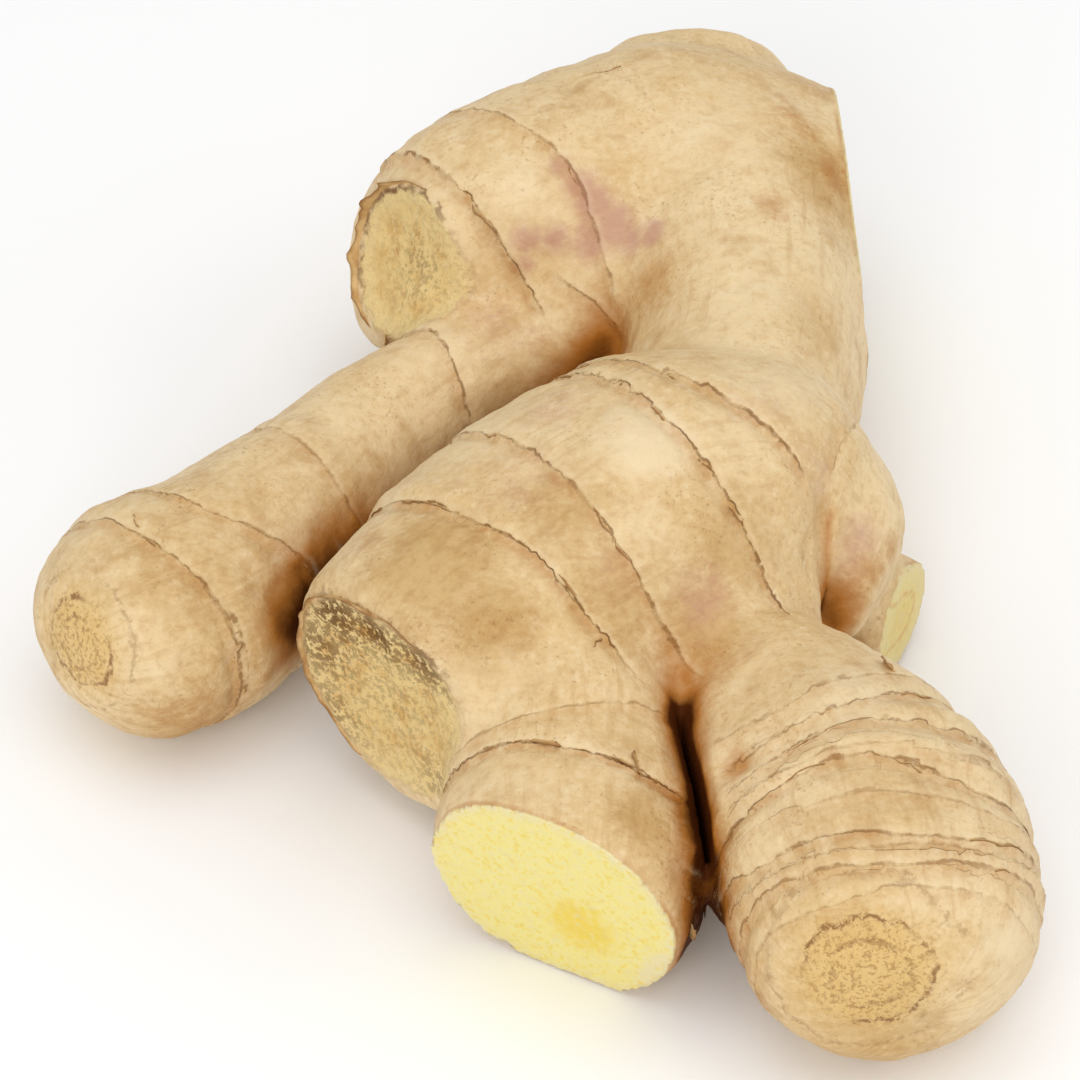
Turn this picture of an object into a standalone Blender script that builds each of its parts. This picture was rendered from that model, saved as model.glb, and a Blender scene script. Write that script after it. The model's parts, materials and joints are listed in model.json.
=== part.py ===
"""A fresh ginger root: one rhizome grown as a heavy back lobe, a broad middle body and three fingers.

Metres, +Z up. The root lies on the plane z = 0 on three low flats, with its origin at the bottom centre of its
box. The front finger is cut across, and so are the stub on the right shoulder and the right end of the back lobe.
A deep narrow crevice parts the two front fingers.
"""

import math
from dataclasses import dataclass

import bmesh
import bpy
import numpy as np
from mathutils import Vector, noise

MM = 0.001

# Driving dimensions, in millimetres
CENTRE_SHIFT = (2.159, -7.693, -1.2)  # from the middle body's own frame to the bottom centre of the box
FLOOR = 1.2  # height, in the middle body's frame, of the plane that the worn low spots rest on
SECTION_POINTS = 48  # points round a limb's section
SPINE_STEP = 1.5  # distance between sections
VOXEL = 1.0  # size of the cells that fuse the limbs
FACE_SOFTNESS = 1.2  # roundness of the edge of a flattened end
FUSE_PASSES = 10  # smoothing passes that round the joins between limbs
TRIANGLES = 11900  # faces kept before the knife cuts
LUMPS = ((14.0, 0.7), (6.0, 0.25))  # length and height of the slow and the quick swelling of the skin
RING_WIDTH = 0.95  # half width of a growth ring's groove
RING_WOBBLE = 1.1  # how far a ring strays from its plane
RIM_WIDTH = (0.5, 0.09)  # half width of a scar's raised rim: a least width, and a share of the radius
FIBRE_LENGTH = 3.5  # size of the torn fibres in a scar

SKIN_COLOUR = (0.72, 0.52, 0.28, 1.0)
SKIN_ROUGHNESS = 0.55


@dataclass
class Limb:
    """A branch of the root: stations of (x, y, z, half width, half height), its blunt end and its growth rings."""

    name: str
    stations: tuple
    end_length: float  # how far the end stands past the last station, in radii
    end_power: float  # 2 is a round dome, and a higher power is blunter
    face: tuple = ()  # a point on the plane its end is flattened to, and the way that plane faces


@dataclass
class Ring:
    """A growth ring: a narrow groove round a limb with a lip on the side of the limb's base."""

    limb: str
    distance: float  # along the limb's middle line
    side_lean: float  # how much further along it runs at the limb's side
    top_lean: float  # and at its top
    depth: float


@dataclass
class Scar:
    """A round mark where a shoot or a root broke away, with a raised rim. A dish below zero is a bud."""

    centre: tuple
    facing: tuple
    radius: float
    dish: float
    rim: float
    fibre: float  # height of the torn fibres inside the rim


@dataclass
class SoftJoin:
    """A place where one limb flows into another without a crease."""

    centre: tuple
    radius: float
    passes: int


@dataclass
class Knife:
    """A straight cut: a point on it, its outward direction, and how far it reaches sideways and outward."""

    point: tuple
    facing: tuple
    reach: float
    depth: float


@dataclass
class Crevice:
    """A deep narrow fold between two limbs: rows of (x, y, bottom) along it, its top and its half width there."""

    path: tuple
    top: float
    half_width: float


LIMBS = (
    Limb(
        "middle_body",
        (
            (31.0, 3.0, 17.5, 9.5, 10.5),
            (23.5, 3.8, 20.5, 15.3, 15.6),
            (15.0, 1.0, 22.0, 18.6, 18.4),
            (6.0, -5.0, 21.5, 19.0, 18.6),
            (-2.5, -11.0, 20.3, 18.0, 17.5),
            (-9.5, -17.2, 19.6, 16.0, 15.8),
            (-15.0, -22.8, 19.0, 14.2, 14.6),
        ),
        0.3,
        2.6,
        ((-16.2, -22.3, 19.0), (-0.69, -0.71, -0.06)),
    ),
    Limb(
        "back_lobe",
        (
            (40.0, 53.5, 16.5, 14.5, 12.5),
            (26.0, 55.0, 19.6, 18.5, 17.6),
            (14.0, 54.6, 20.6, 19.4, 20.2),
            (3.0, 51.2, 22.4, 17.0, 17.8),
            (-7.0, 47.5, 23.4, 13.6, 15.0),
            (-18.0, 43.5, 23.5, 9.8, 11.2),
        ),
        0.4,
        2.6,
        ((-17.0, 42.0, 23.5), (-0.80, -0.42, 0.40)),
    ),
    Limb(
        "neck",
        (
            (21.0, 52.0, 21.0, 17.0, 18.5),
            (22.0, 42.0, 21.0, 15.0, 17.5),
            (22.5, 30.0, 20.8, 13.5, 16.0),
            (21.5, 20.0, 20.5, 13.2, 15.5),
            (18.5, 9.0, 20.5, 14.0, 15.5),
        ),
        0.5,
        2.0,
    ),
    Limb(
        "web",
        (
            (16.0, 24.0, 15.0, 9.0, 9.5),
            (8.0, 15.0, 15.0, 9.5, 9.5),
            (-4.0, 4.0, 15.0, 6.5, 7.5),
        ),
        0.6,
        2.0,
    ),
    Limb(
        "back_knob",
        (
            (16.5, 56.0, 22.5, 16.0, 13.5),
            (17.3, 66.0, 24.6, 14.2, 11.6),
            (17.5, 71.5, 26.2, 12.0, 10.0),
        ),
        0.4,
        3.2,
    ),
    Limb(
        "long_finger",
        (
            (13.0, 39.0, 19.0, 8.0, 8.0),
            (6.5, 37.0, 19.0, 7.3, 7.3),
            (-4.5, 33.0, 18.0, 6.9, 6.9),
            (-12.2, 27.3, 17.0, 6.9, 6.9),
            (-19.2, 20.2, 16.0, 8.0, 8.0),
            (-24.3, 12.4, 15.2, 9.7, 9.8),
            (-29.9, 4.7, 14.6, 11.2, 12.1),
            (-35.2, -1.6, 14.1, 12.7, 13.3),
            (-40.0, -4.7, 13.8, 13.5, 13.5),
        ),
        0.95,
        2.2,
    ),
    Limb(
        "cut_finger",
        (
            (0.5, -13.0, 19.5, 12.0, 12.5),
            (2.2, -22.7, 18.0, 11.6, 12.2),
            (2.8, -31.0, 15.8, 12.4, 12.4),
            (2.7, -37.5, 14.2, 13.3, 13.2),
            (2.5, -44.4, 13.4, 13.8, 13.5),
        ),
        0.8,
        2.3,
    ),
    Limb(
        "ringed_finger",
        (
            (19.0, -8.0, 18.5, 11.0, 12.2),
            (20.2, -17.0, 16.4, 9.8, 10.4),
            (24.6, -25.5, 16.8, 11.8, 12.0),
            (28.8, -34.5, 17.4, 14.4, 14.4),
            (32.3, -42.0, 17.0, 16.0, 15.8),
            (33.6, -47.4, 16.2, 15.7, 15.6),
        ),
        0.95,
        2.5,
    ),
    Limb(
        "shoulder_bud",
        (
            (29.0, 8.0, 19.0, 8.0, 8.5),
            (32.3, 3.0, 18.5, 7.2, 7.5),
            (32.4, -2.5, 17.0, 4.5, 5.4),
            (31.4, -7.0, 15.4, 2.8, 3.2),
        ),
        0.8,
        2.0,
    ),
    Limb(
        "cut_stub",
        (
            (27.0, 6.0, 12.5, 8.5, 8.5),
            (34.0, 2.5, 8.6, 7.8, 6.4),
            (44.0, -1.5, 7.5, 7.0, 5.6),
        ),
        0.5,
        2.0,
    ),
)

RINGS = (
    Ring("middle_body", 42.0, 3.2, 1.5, 0.9),
    Ring("middle_body", 33.4, 2.3, 0.0, 0.4),
    Ring("middle_body", 20.0, 2.3, 1.9, 0.6),
    Ring("middle_body", 9.3, 9.2, 6.8, 0.5),
    Ring("middle_body", 3.7, -2.6, 0.2, 0.4),
    Ring("long_finger", 9.9, 4.3, 1.1, 0.35),
    Ring("long_finger", 27.2, -0.9, -0.9, 0.4),
    Ring("long_finger", 50.4, -1.3, -0.2, 0.35),
    Ring("long_finger", 66.4, 5.9, -1.2, 0.35),
    Ring("long_finger", 73.1, 4.7, -0.9, 0.5),
    Ring("cut_finger", 18.0, 1.0, -0.4, 0.4),
    Ring("cut_finger", 24.1, -3.3, -0.7, 0.7),
    Ring("ringed_finger", 29.9, -1.7, 1.5, 0.6),
    Ring("ringed_finger", 33.4, -2.8, 1.1, 0.6),
    Ring("ringed_finger", 38.5, -4.5, 0.0, 0.7),
    Ring("ringed_finger", 43.4, -2.6, 2.4, 0.6),
    Ring("ringed_finger", 47.6, -2.4, 1.0, 0.5),
    Ring("back_lobe", 37.2, 5.0, 0.8, 0.5),
    Ring("back_lobe", 51.9, 2.8, 2.6, 0.6),
)

SCARS = (
    Scar((-14.8, 40.3, 25.2), (-0.80, -0.42, 0.40), 8.8, 0.7, 0.9, 0.35),
    Scar((-15.6, -22.9, 19.2), (-0.69, -0.71, -0.06), 12.4, 0.3, 0.5, 0.45),
    Scar((-48.0, -13.9, 18.0), (-0.66, -0.69, 0.25), 7.5, 0.5, 0.4, 0.25),
    Scar((32.4, -62.6, 18.5), (0.02, -0.98, 0.20), 10.0, 0.5, 0.6, 0.35),
    Scar((9.1, -8.3, 39.7), (0.04, -0.25, 0.97), 6.0, -0.8, 0.0, 0.0),
    Scar((19.5, -39.9, 27.1), (-0.70, -0.20, 0.68), 2.6, 0.7, 0.3, 0.0),
    Scar((31.5, -10.0, 18.5), (0.62, -0.50, 0.60), 4.0, 2.2, 0.0, 0.0),
    Scar((10.0, 75.3, 22.0), (-0.53, 0.83, -0.20), 3.2, 0.6, 0.5, 0.0),
    Scar((-2.0, 64.4, 12.0), (-0.61, 0.63, -0.48), 2.6, 0.5, 0.4, 0.0),
    Scar((6.0, 52.0, 2.3), (-0.36, -0.14, -0.92), 2.8, 0.5, 0.4, 0.0),
    Scar((35.7, 30.0, 18.0), (0.98, -0.09, -0.15), 3.4, -0.7, 0.4, 0.0),
    Scar((20.0, 24.0, 5.3), (-0.17, 0.02, -0.98), 3.0, 0.6, 0.4, 0.0),
    Scar((40.1, -28.0, 12.0), (0.74, 0.56, -0.36), 2.8, 0.6, 0.5, 0.0),
    Scar((2.0, -8.0, 3.0), (0.0, -0.01, -1.0), 3.6, 0.6, 0.5, 0.0),
    Scar((12.0, 4.0, 4.1), (0.05, 0.29, -0.96), 2.6, 0.5, 0.4, 0.0),
    Scar((-22.0, 14.0, 6.1), (0.26, 0.18, -0.95), 2.8, 0.5, 0.4, 0.0),
    Scar((-48.1, 6.0, 14.0), (-0.61, 0.79, 0.02), 2.8, 0.5, 0.4, 0.0),
)

SOFT_JOINS = (
    SoftJoin((12.0, 40.0, 34.0), 15.0, 60),
    SoftJoin((22.0, 38.0, 38.0), 13.0, 40),
    SoftJoin((1.0, 12.0, 16.0), 13.0, 50),
    SoftJoin((26.0, 20.0, 12.0), 12.0, 30),
    SoftJoin((13.5, -21.0, 24.5), 8.5, 30),
    SoftJoin((19.0, -15.0, 28.0), 9.0, 40),
)

CREVICES = (
    Crevice(
        ((13.4, -27.5, 23.5), (14.0, -32.0, 17.5), (15.6, -39.5, 13.0), (16.6, -45.5, 12.0), (16.6, -53.0, 11.0)),
        34.0,
        2.0,
    ),
)

KNIVES = (
    Knife((2.5, -46.2, 13.5), (-0.46, -0.87, -0.14), 18.5, 14.0),
    Knife((38.4, 0.0, 12.0), (0.90, -0.43, 0.05), 12.0, 12.0),
    Knife((34.7, 60.0, 22.0), (0.995, 0.05, 0.08), 26.0, 26.0),
    Knife((0.0, 0.0, FLOOR), (0.0, 0.0, -1.0), 110.0, 10.0),
)


def clear_scene():
    """Remove whatever the file opened with."""
    for obj in list(bpy.data.objects):
        bpy.data.objects.remove(obj)


def catmull_rom(points, per_span):
    """A smooth run of rows through the given rows."""
    padded = np.vstack([2 * points[0] - points[1], points, 2 * points[-1] - points[-2]])
    rows = []
    for i in range(len(points) - 1):
        a, b, c, d = padded[i : i + 4]
        for t in np.arange(per_span) / per_span:
            rows.append(
                0.5 * (2 * b + (c - a) * t + (2 * a - 5 * b + 4 * c - d) * t**2 + (3 * b - a - 3 * c + d) * t**3)
            )
    rows.append(points[-1])
    return np.array(rows)


def spine_of(limb):
    """The limb's sections: centres, half sizes, tangents, side and top directions, all in millimetres."""
    stations = np.array(limb.stations, float)
    spans = np.linalg.norm(np.diff(stations[:, :3], axis=0), axis=1)
    rows = catmull_rom(stations, max(3, round(spans.mean() / SPINE_STEP)))
    centres, halves = rows[:, :3], rows[:, 3:]
    tangents = np.gradient(centres, axis=0)
    tangents /= np.linalg.norm(tangents, axis=1)[:, None]
    side = np.cross(tangents, (0.0, 0.0, 1.0))
    side /= np.linalg.norm(side, axis=1)[:, None]
    top = np.cross(side, tangents)
    return centres, halves, tangents, side, top


def add_ring(mesh, centre, half, side, top):
    """One section of a limb as a closed loop of vertices."""
    ring = []
    for k in range(SECTION_POINTS):
        angle = 2 * math.pi * k / SECTION_POINTS
        offset = side * half[0] * math.cos(angle) + top * half[1] * math.sin(angle)
        ring.append(mesh.verts.new(Vector(centre + offset) * MM))
    return ring


def bridge(mesh, first, second):
    """Quads between two sections."""
    for k in range(SECTION_POINTS):
        nxt = (k + 1) % SECTION_POINTS
        mesh.faces.new((first[k], first[nxt], second[nxt], second[k]))


def flatten(verts, point, facing):
    """Press what stands past a plane back on to it, with a soft edge."""
    facing = Vector(facing).normalized()
    for vert in verts:
        past = (vert.co / MM - Vector(point)).dot(facing)
        pressed = -FACE_SOFTNESS * math.log1p(math.exp(-past / FACE_SOFTNESS))
        vert.co += facing * (pressed - past) * MM


def add_limb(mesh, limb):
    """Loft a limb through its sections, with a dome at its root end and its own end at its tip."""
    centres, halves, tangents, side, top = spine_of(limb)
    caps = ((0, -1.0, 0.6, 2.0), (-1, 1.0, limb.end_length, limb.end_power))
    ends = []
    for index, sign, length, power in caps:
        steps = [math.sin(math.pi / 2 * k / 8) for k in range(1, 8)]
        cap = []
        for u in steps:
            shrink = (1 - u**power) ** (1 / power)
            centre = centres[index] + tangents[index] * sign * length * halves[index].mean() * u
            cap.append((centre, halves[index] * shrink, side[index], top[index]))
        ends.append(cap)
    body = list(zip(centres, halves, side, top))
    sections = ends[0][::-1] + body + ends[1]
    loops = [add_ring(mesh, *section) for section in sections]
    if limb.face:
        flatten([vert for loop in loops for vert in loop], *limb.face)
    for first, second in zip(loops, loops[1:]):
        bridge(mesh, first, second)
    mesh.faces.new(loops[0][::-1])
    mesh.faces.new(loops[-1])


def limbs_object():
    """All limbs as overlapping closed shells in one mesh."""
    mesh = bmesh.new()
    for limb in LIMBS:
        add_limb(mesh, limb)
    bmesh.ops.recalc_face_normals(mesh, faces=mesh.faces)
    data = bpy.data.meshes.new("limbs")
    mesh.to_mesh(data)
    mesh.free()
    obj = bpy.data.objects.new("limbs", data)
    bpy.context.scene.collection.objects.link(obj)
    return obj


def fused(obj):
    """The limbs grown into one skin, with soft joins, as a plain mesh."""
    remesh = obj.modifiers.new("fuse", "REMESH")
    remesh.mode = "VOXEL"
    remesh.voxel_size = VOXEL * MM
    soften = obj.modifiers.new("soften", "SMOOTH")
    soften.factor = 0.5
    soften.iterations = FUSE_PASSES
    graph = bpy.context.evaluated_depsgraph_get()
    graph.update()
    data = bpy.data.meshes.new_from_object(obj.evaluated_get(graph))
    bpy.data.objects.remove(obj)
    return data


def limb_coordinates(limb, points):
    """Distance along the limb, angle round it, and distance from its middle in limb radii, for each point."""
    centres, halves, tangents, side, top = spine_of(limb)
    along = np.concatenate(([0.0], np.cumsum(np.linalg.norm(np.diff(centres, axis=0), axis=1))))
    nearest = np.argmin(((points[:, None, :] - centres[None]) ** 2).sum(axis=2), axis=1)
    gap = points - centres[nearest]
    past = (gap * tangents[nearest]).sum(axis=1)
    across = (gap * side[nearest]).sum(axis=1) / halves[nearest, 0]
    upward = (gap * top[nearest]).sum(axis=1) / halves[nearest, 1]
    return along[nearest] + past, np.arctan2(upward, across), np.hypot(across, upward)


def noise_at(points):
    """Smooth noise between -1 and 1 at each point."""
    return np.array([noise.noise(Vector(point)) for point in points])


def ring_heights(points):
    """How far the growth rings raise or sink each point."""
    heights = np.zeros(len(points))
    for limb in LIMBS:
        rings = [ring for ring in RINGS if ring.limb == limb.name]
        if not rings:
            continue
        distance, angle, ratio = limb_coordinates(limb, points)
        turn = np.stack([np.cos(angle), np.sin(angle)], axis=1)
        on_limb = np.exp(-(((ratio - 1.0) / 0.22) ** 2))
        for number, ring in enumerate(rings, 1):
            wobble = RING_WOBBLE * noise_at(np.column_stack([turn * 1.6, np.full(len(turn), 3.7 * number)]))
            plane = ring.distance + turn @ (ring.side_lean, ring.top_lean) + wobble
            off = distance - plane
            groove = -np.exp(-((off / RING_WIDTH) ** 2))
            lip = 0.45 * np.exp(-(((off + 2.0 * RING_WIDTH) / (1.4 * RING_WIDTH)) ** 2))
            heights += on_limb * ring.depth * (groove + lip)
    return heights


def lump_heights(points):
    """Slow and quick swelling of the skin."""
    return sum(height * noise_at(points / length) for length, height in LUMPS)


def press_scar(points, normals, scar):
    """Dish a scar and raise its rim, along the way it faces."""
    facing = np.array(scar.facing) / np.linalg.norm(scar.facing)
    gap = points - scar.centre
    depth = gap @ facing
    radius = np.linalg.norm(gap - depth[:, None] * facing, axis=1) / scar.radius
    outward = np.clip((normals @ facing - 0.1) / 0.4, 0.0, 1.0) * (np.abs(depth) < 0.8 * scar.radius)
    inside = np.clip(1.0 - radius**2, 0.0, 1.0)
    fibres = scar.fibre * noise_at(points / FIBRE_LENGTH) * np.minimum(1.0, 3.0 * inside)
    width = RIM_WIDTH[0] + RIM_WIDTH[1] * scar.radius
    rim = scar.rim * np.exp(-(((radius - 1.0) * scar.radius / width) ** 2))
    points += (outward * (rim + fibres - scar.dish * inside))[:, None] * facing


def soften_join(points, edges, join):
    """Smooth the skin near one join until its crease is gone."""
    reach = np.linalg.norm(points - join.centre, axis=1) / join.radius
    weight = np.clip(1.0 - reach**2, 0.0, 1.0)[:, None] * 0.6
    count = np.bincount(edges.ravel(), minlength=len(points))[:, None]
    for _ in range(join.passes):
        total = np.zeros_like(points)
        np.add.at(total, edges[:, 0], points[edges[:, 1]])
        np.add.at(total, edges[:, 1], points[edges[:, 0]])
        points += weight * (total / count - points)


def vertex_rows(data, attribute):
    """One vector per vertex of a mesh as rows of an array."""
    rows = np.empty(len(data.vertices) * 3)
    data.vertices.foreach_get(attribute, rows)
    return rows.reshape(-1, 3)


def add_relief(data):
    """Work the joins, lumps, rings and scars into the fused skin."""
    points = vertex_rows(data, "co") / MM
    edges = np.empty(len(data.edges) * 2, int)
    data.edges.foreach_get("vertices", edges)
    for join in SOFT_JOINS:
        soften_join(points, edges.reshape(-1, 2), join)
    normals = vertex_rows(data, "normal")
    points += (lump_heights(points) + ring_heights(points))[:, None] * normals
    for scar in SCARS:
        press_scar(points, normals, scar)
    data.vertices.foreach_set("co", ((points + CENTRE_SHIFT) * MM).ravel())
    data.update()


def knife_object(name, knife):
    """A box whose flat face is the cut, hidden in renders."""
    mesh = bmesh.new()
    bmesh.ops.create_cube(mesh, size=1.0)
    bmesh.ops.scale(mesh, vec=Vector((2 * knife.reach, 2 * knife.reach, knife.depth)) * MM, verts=mesh.verts)
    bmesh.ops.translate(mesh, vec=Vector((0.0, 0.0, 0.5 * knife.depth)) * MM, verts=mesh.verts)
    data = bpy.data.meshes.new(name)
    mesh.to_mesh(data)
    mesh.free()
    obj = bpy.data.objects.new(name, data)
    bpy.context.scene.collection.objects.link(obj)
    obj.location = (Vector(knife.point) + Vector(CENTRE_SHIFT)) * MM
    obj.rotation_mode = "QUATERNION"
    obj.rotation_quaternion = Vector(knife.facing).to_track_quat("Z", "Y")
    obj.hide_render = True
    obj.display_type = "WIRE"
    return obj


def blade_object(name, crevice):
    """A thin wedge along a crevice, hidden in renders."""
    mesh = bmesh.new()
    path = np.array(crevice.path)
    tangents = np.gradient(path[:, :2], axis=0)
    tangents /= np.linalg.norm(tangents, axis=1)[:, None]
    sections = []
    for (x, y, bottom), (run_x, run_y) in zip(path, tangents):
        side = Vector((-run_y, run_x, 0.0)) * crevice.half_width
        top = Vector((x, y, crevice.top))
        corners = (Vector((x, y, bottom)), top + side, top - side)
        sections.append([mesh.verts.new(corner * MM) for corner in corners])
    for first, second in zip(sections, sections[1:]):
        for k in range(3):
            nxt = (k + 1) % 3
            mesh.faces.new((first[k], first[nxt], second[nxt], second[k]))
    mesh.faces.new(sections[0][::-1])
    mesh.faces.new(sections[-1])
    bmesh.ops.recalc_face_normals(mesh, faces=mesh.faces)
    data = bpy.data.meshes.new(name)
    mesh.to_mesh(data)
    mesh.free()
    obj = bpy.data.objects.new(name, data)
    bpy.context.scene.collection.objects.link(obj)
    obj.location = Vector(CENTRE_SHIFT) * MM
    obj.hide_render = True
    obj.display_type = "WIRE"
    return obj


def skin_material():
    """The root's skin."""
    material = bpy.data.materials.new("ginger_skin")
    material.use_nodes = True
    shader = material.node_tree.nodes["Principled BSDF"]
    shader.inputs["Base Color"].default_value = SKIN_COLOUR
    shader.inputs["Roughness"].default_value = SKIN_ROUGHNESS
    shader.inputs["Metallic"].default_value = 0.0
    return material


def ginger_root():
    """The whole rhizome as one object."""
    data = fused(limbs_object())
    data.name = "ginger_root"
    add_relief(data)
    obj = bpy.data.objects.new("ginger_root", data)
    bpy.context.scene.collection.objects.link(obj)
    obj.data.materials.append(skin_material())
    thin = obj.modifiers.new("thin", "DECIMATE")
    thin.ratio = TRIANGLES / sum(len(polygon.vertices) - 2 for polygon in data.polygons)
    for number, crevice in enumerate(CREVICES, 1):
        fold = obj.modifiers.new(f"crevice_{number}", "BOOLEAN")
        fold.operation = "DIFFERENCE"
        fold.object = blade_object(f"crevice_{number}", crevice)
    for number, knife in enumerate(KNIVES, 1):
        cut = obj.modifiers.new(f"knife_{number}", "BOOLEAN")
        cut.operation = "DIFFERENCE"
        cut.object = knife_object(f"knife_{number}", knife)
    obj.data.shade_smooth()
    return obj


def main():
    """Build the root."""
    clear_scene()
    ginger_root()


main()
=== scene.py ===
"""The looks of a fresh ginger root, grown over its fixed frame.

The tables are in millimetres, in the middle body's own frame. CENTRE_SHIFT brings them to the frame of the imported
model, whose origin is at the bottom centre of its box. The scene is in metres.
"""

import json
import logging
import math
from dataclasses import dataclass, field
from enum import Enum
from typing import Any

import bpy
import numpy as np
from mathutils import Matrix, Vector, noise
from mathutils.bvhtree import BVHTree
from mathutils.kdtree import KDTree

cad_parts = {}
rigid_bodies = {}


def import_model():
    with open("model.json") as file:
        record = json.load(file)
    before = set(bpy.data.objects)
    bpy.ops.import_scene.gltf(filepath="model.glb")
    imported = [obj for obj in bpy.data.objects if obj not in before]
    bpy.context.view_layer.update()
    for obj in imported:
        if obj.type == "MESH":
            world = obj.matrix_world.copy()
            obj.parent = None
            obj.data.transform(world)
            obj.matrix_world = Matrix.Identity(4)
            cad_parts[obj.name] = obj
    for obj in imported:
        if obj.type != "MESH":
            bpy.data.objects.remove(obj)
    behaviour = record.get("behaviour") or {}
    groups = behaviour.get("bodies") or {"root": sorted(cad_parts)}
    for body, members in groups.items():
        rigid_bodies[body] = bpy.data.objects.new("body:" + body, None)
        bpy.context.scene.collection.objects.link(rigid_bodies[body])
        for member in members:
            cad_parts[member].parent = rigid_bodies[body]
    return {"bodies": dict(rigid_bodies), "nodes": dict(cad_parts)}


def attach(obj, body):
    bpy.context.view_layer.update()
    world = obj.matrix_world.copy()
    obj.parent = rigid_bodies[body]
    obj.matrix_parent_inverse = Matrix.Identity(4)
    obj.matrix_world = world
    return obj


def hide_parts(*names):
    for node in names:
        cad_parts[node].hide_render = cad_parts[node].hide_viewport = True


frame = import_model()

log = logging.getLogger("ginger")

MM = 0.001
NODE = "ginger_root"
CENTRE_SHIFT = np.array((2.159, -7.693, -1.2))
SPINE_STEP = 1.5
RING_WOBBLE = 1.1
RING_SETS = 4


class ScarKind(Enum):
    """What a round mark on the skin looks like."""

    TORN = "torn"
    DRY = "dry"
    ROOT = "root"


@dataclass(frozen=True)
class Limb:
    """A branch of the root: stations of (x, y, z, half width, half height) along its middle line."""

    name: str
    stations: tuple


@dataclass(frozen=True)
class Ring:
    """A growth ring on a limb.

    Distance runs along the middle line, and the leans say how much further along the ring runs at the limb's side
    and top. Number picks the ring's own waver. Mark is how dark its line is, and flap how far its dry edge stands up.
    """

    limb: str
    number: int
    distance: float
    side_lean: float
    top_lean: float
    mark: float
    flap: float


@dataclass(frozen=True)
class Scar:
    """A round mark where a shoot or a root broke away."""

    centre: tuple
    facing: tuple
    radius: float
    kind: ScarKind


@dataclass(frozen=True)
class Cut:
    """A straight knife cut: a point on it, its outward direction, its reach, and how dry its flesh is."""

    point: tuple
    facing: tuple
    reach: float
    dryness: float
    core: tuple


@dataclass(frozen=True)
class Fold:
    """A deep crevice: rows of (x, y, bottom) along it, its half width, and how far its sides close up."""

    path: tuple
    half_width: float
    pinch: float


@dataclass(frozen=True)
class Stain:
    """A soft patch of another colour: its middle, its radius and its strength."""

    centre: tuple
    radius: float
    strength: float


@dataclass(frozen=True)
class Flake:
    """A loose chip of dry skin: where it sits, how long and wide it is, how far it stands up, and its turn."""

    centre: tuple
    length: float
    width: float
    lift: float
    turn: float


LIMBS = (
    Limb(
        "middle_body",
        (
            (31.0, 3.0, 17.5, 9.5, 10.5),
            (23.5, 3.8, 20.5, 15.3, 15.6),
            (15.0, 1.0, 22.0, 18.6, 18.4),
            (6.0, -5.0, 21.5, 19.0, 18.6),
            (-2.5, -11.0, 20.3, 18.0, 17.5),
            (-9.5, -17.2, 19.6, 16.0, 15.8),
            (-15.0, -22.8, 19.0, 14.2, 14.6),
        ),
    ),
    Limb(
        "back_lobe",
        (
            (40.0, 53.5, 16.5, 14.5, 12.5),
            (26.0, 55.0, 19.6, 18.5, 17.6),
            (14.0, 54.6, 20.6, 19.4, 20.2),
            (3.0, 51.2, 22.4, 17.0, 17.8),
            (-7.0, 47.5, 23.4, 13.6, 15.0),
            (-18.0, 43.5, 23.5, 9.8, 11.2),
        ),
    ),
    Limb(
        "neck",
        (
            (21.0, 52.0, 21.0, 17.0, 18.5),
            (22.0, 42.0, 21.0, 15.0, 17.5),
            (22.5, 30.0, 20.8, 13.5, 16.0),
            (21.5, 20.0, 20.5, 13.2, 15.5),
            (18.5, 9.0, 20.5, 14.0, 15.5),
        ),
    ),
    Limb(
        "back_knob",
        (
            (16.5, 56.0, 22.5, 16.0, 13.5),
            (17.3, 66.0, 24.6, 14.2, 11.6),
            (17.5, 71.5, 26.2, 12.0, 10.0),
        ),
    ),
    Limb(
        "long_finger",
        (
            (13.0, 39.0, 19.0, 8.0, 8.0),
            (6.5, 37.0, 19.0, 7.3, 7.3),
            (-4.5, 33.0, 18.0, 6.9, 6.9),
            (-12.2, 27.3, 17.0, 6.9, 6.9),
            (-19.2, 20.2, 16.0, 8.0, 8.0),
            (-24.3, 12.4, 15.2, 9.7, 9.8),
            (-29.9, 4.7, 14.6, 11.2, 12.1),
            (-35.2, -1.6, 14.1, 12.7, 13.3),
            (-40.0, -4.7, 13.8, 13.5, 13.5),
        ),
    ),
    Limb(
        "cut_finger",
        (
            (0.5, -13.0, 19.5, 12.0, 12.5),
            (2.2, -22.7, 18.0, 11.6, 12.2),
            (2.8, -31.0, 15.8, 12.4, 12.4),
            (2.7, -37.5, 14.2, 13.3, 13.2),
            (2.5, -44.4, 13.4, 13.8, 13.5),
        ),
    ),
    Limb(
        "ringed_finger",
        (
            (19.0, -8.0, 18.5, 11.0, 12.2),
            (20.2, -17.0, 16.4, 9.8, 10.4),
            (24.6, -25.5, 16.8, 11.8, 12.0),
            (28.8, -34.5, 17.4, 14.4, 14.4),
            (32.3, -42.0, 17.0, 16.0, 15.8),
            (33.6, -47.4, 16.2, 15.7, 15.6),
        ),
    ),
    Limb(
        "shoulder_bud",
        (
            (29.0, 8.0, 19.0, 8.0, 8.5),
            (32.3, 3.0, 18.5, 7.2, 7.5),
            (32.4, -2.5, 17.0, 4.5, 5.4),
            (31.4, -7.0, 15.4, 2.8, 3.2),
        ),
    ),
    Limb(
        "cut_stub",
        (
            (27.0, 6.0, 12.5, 8.5, 8.5),
            (34.0, 2.5, 8.6, 7.8, 6.4),
            (44.0, -1.5, 7.5, 7.0, 5.6),
        ),
    ),
)

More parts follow.
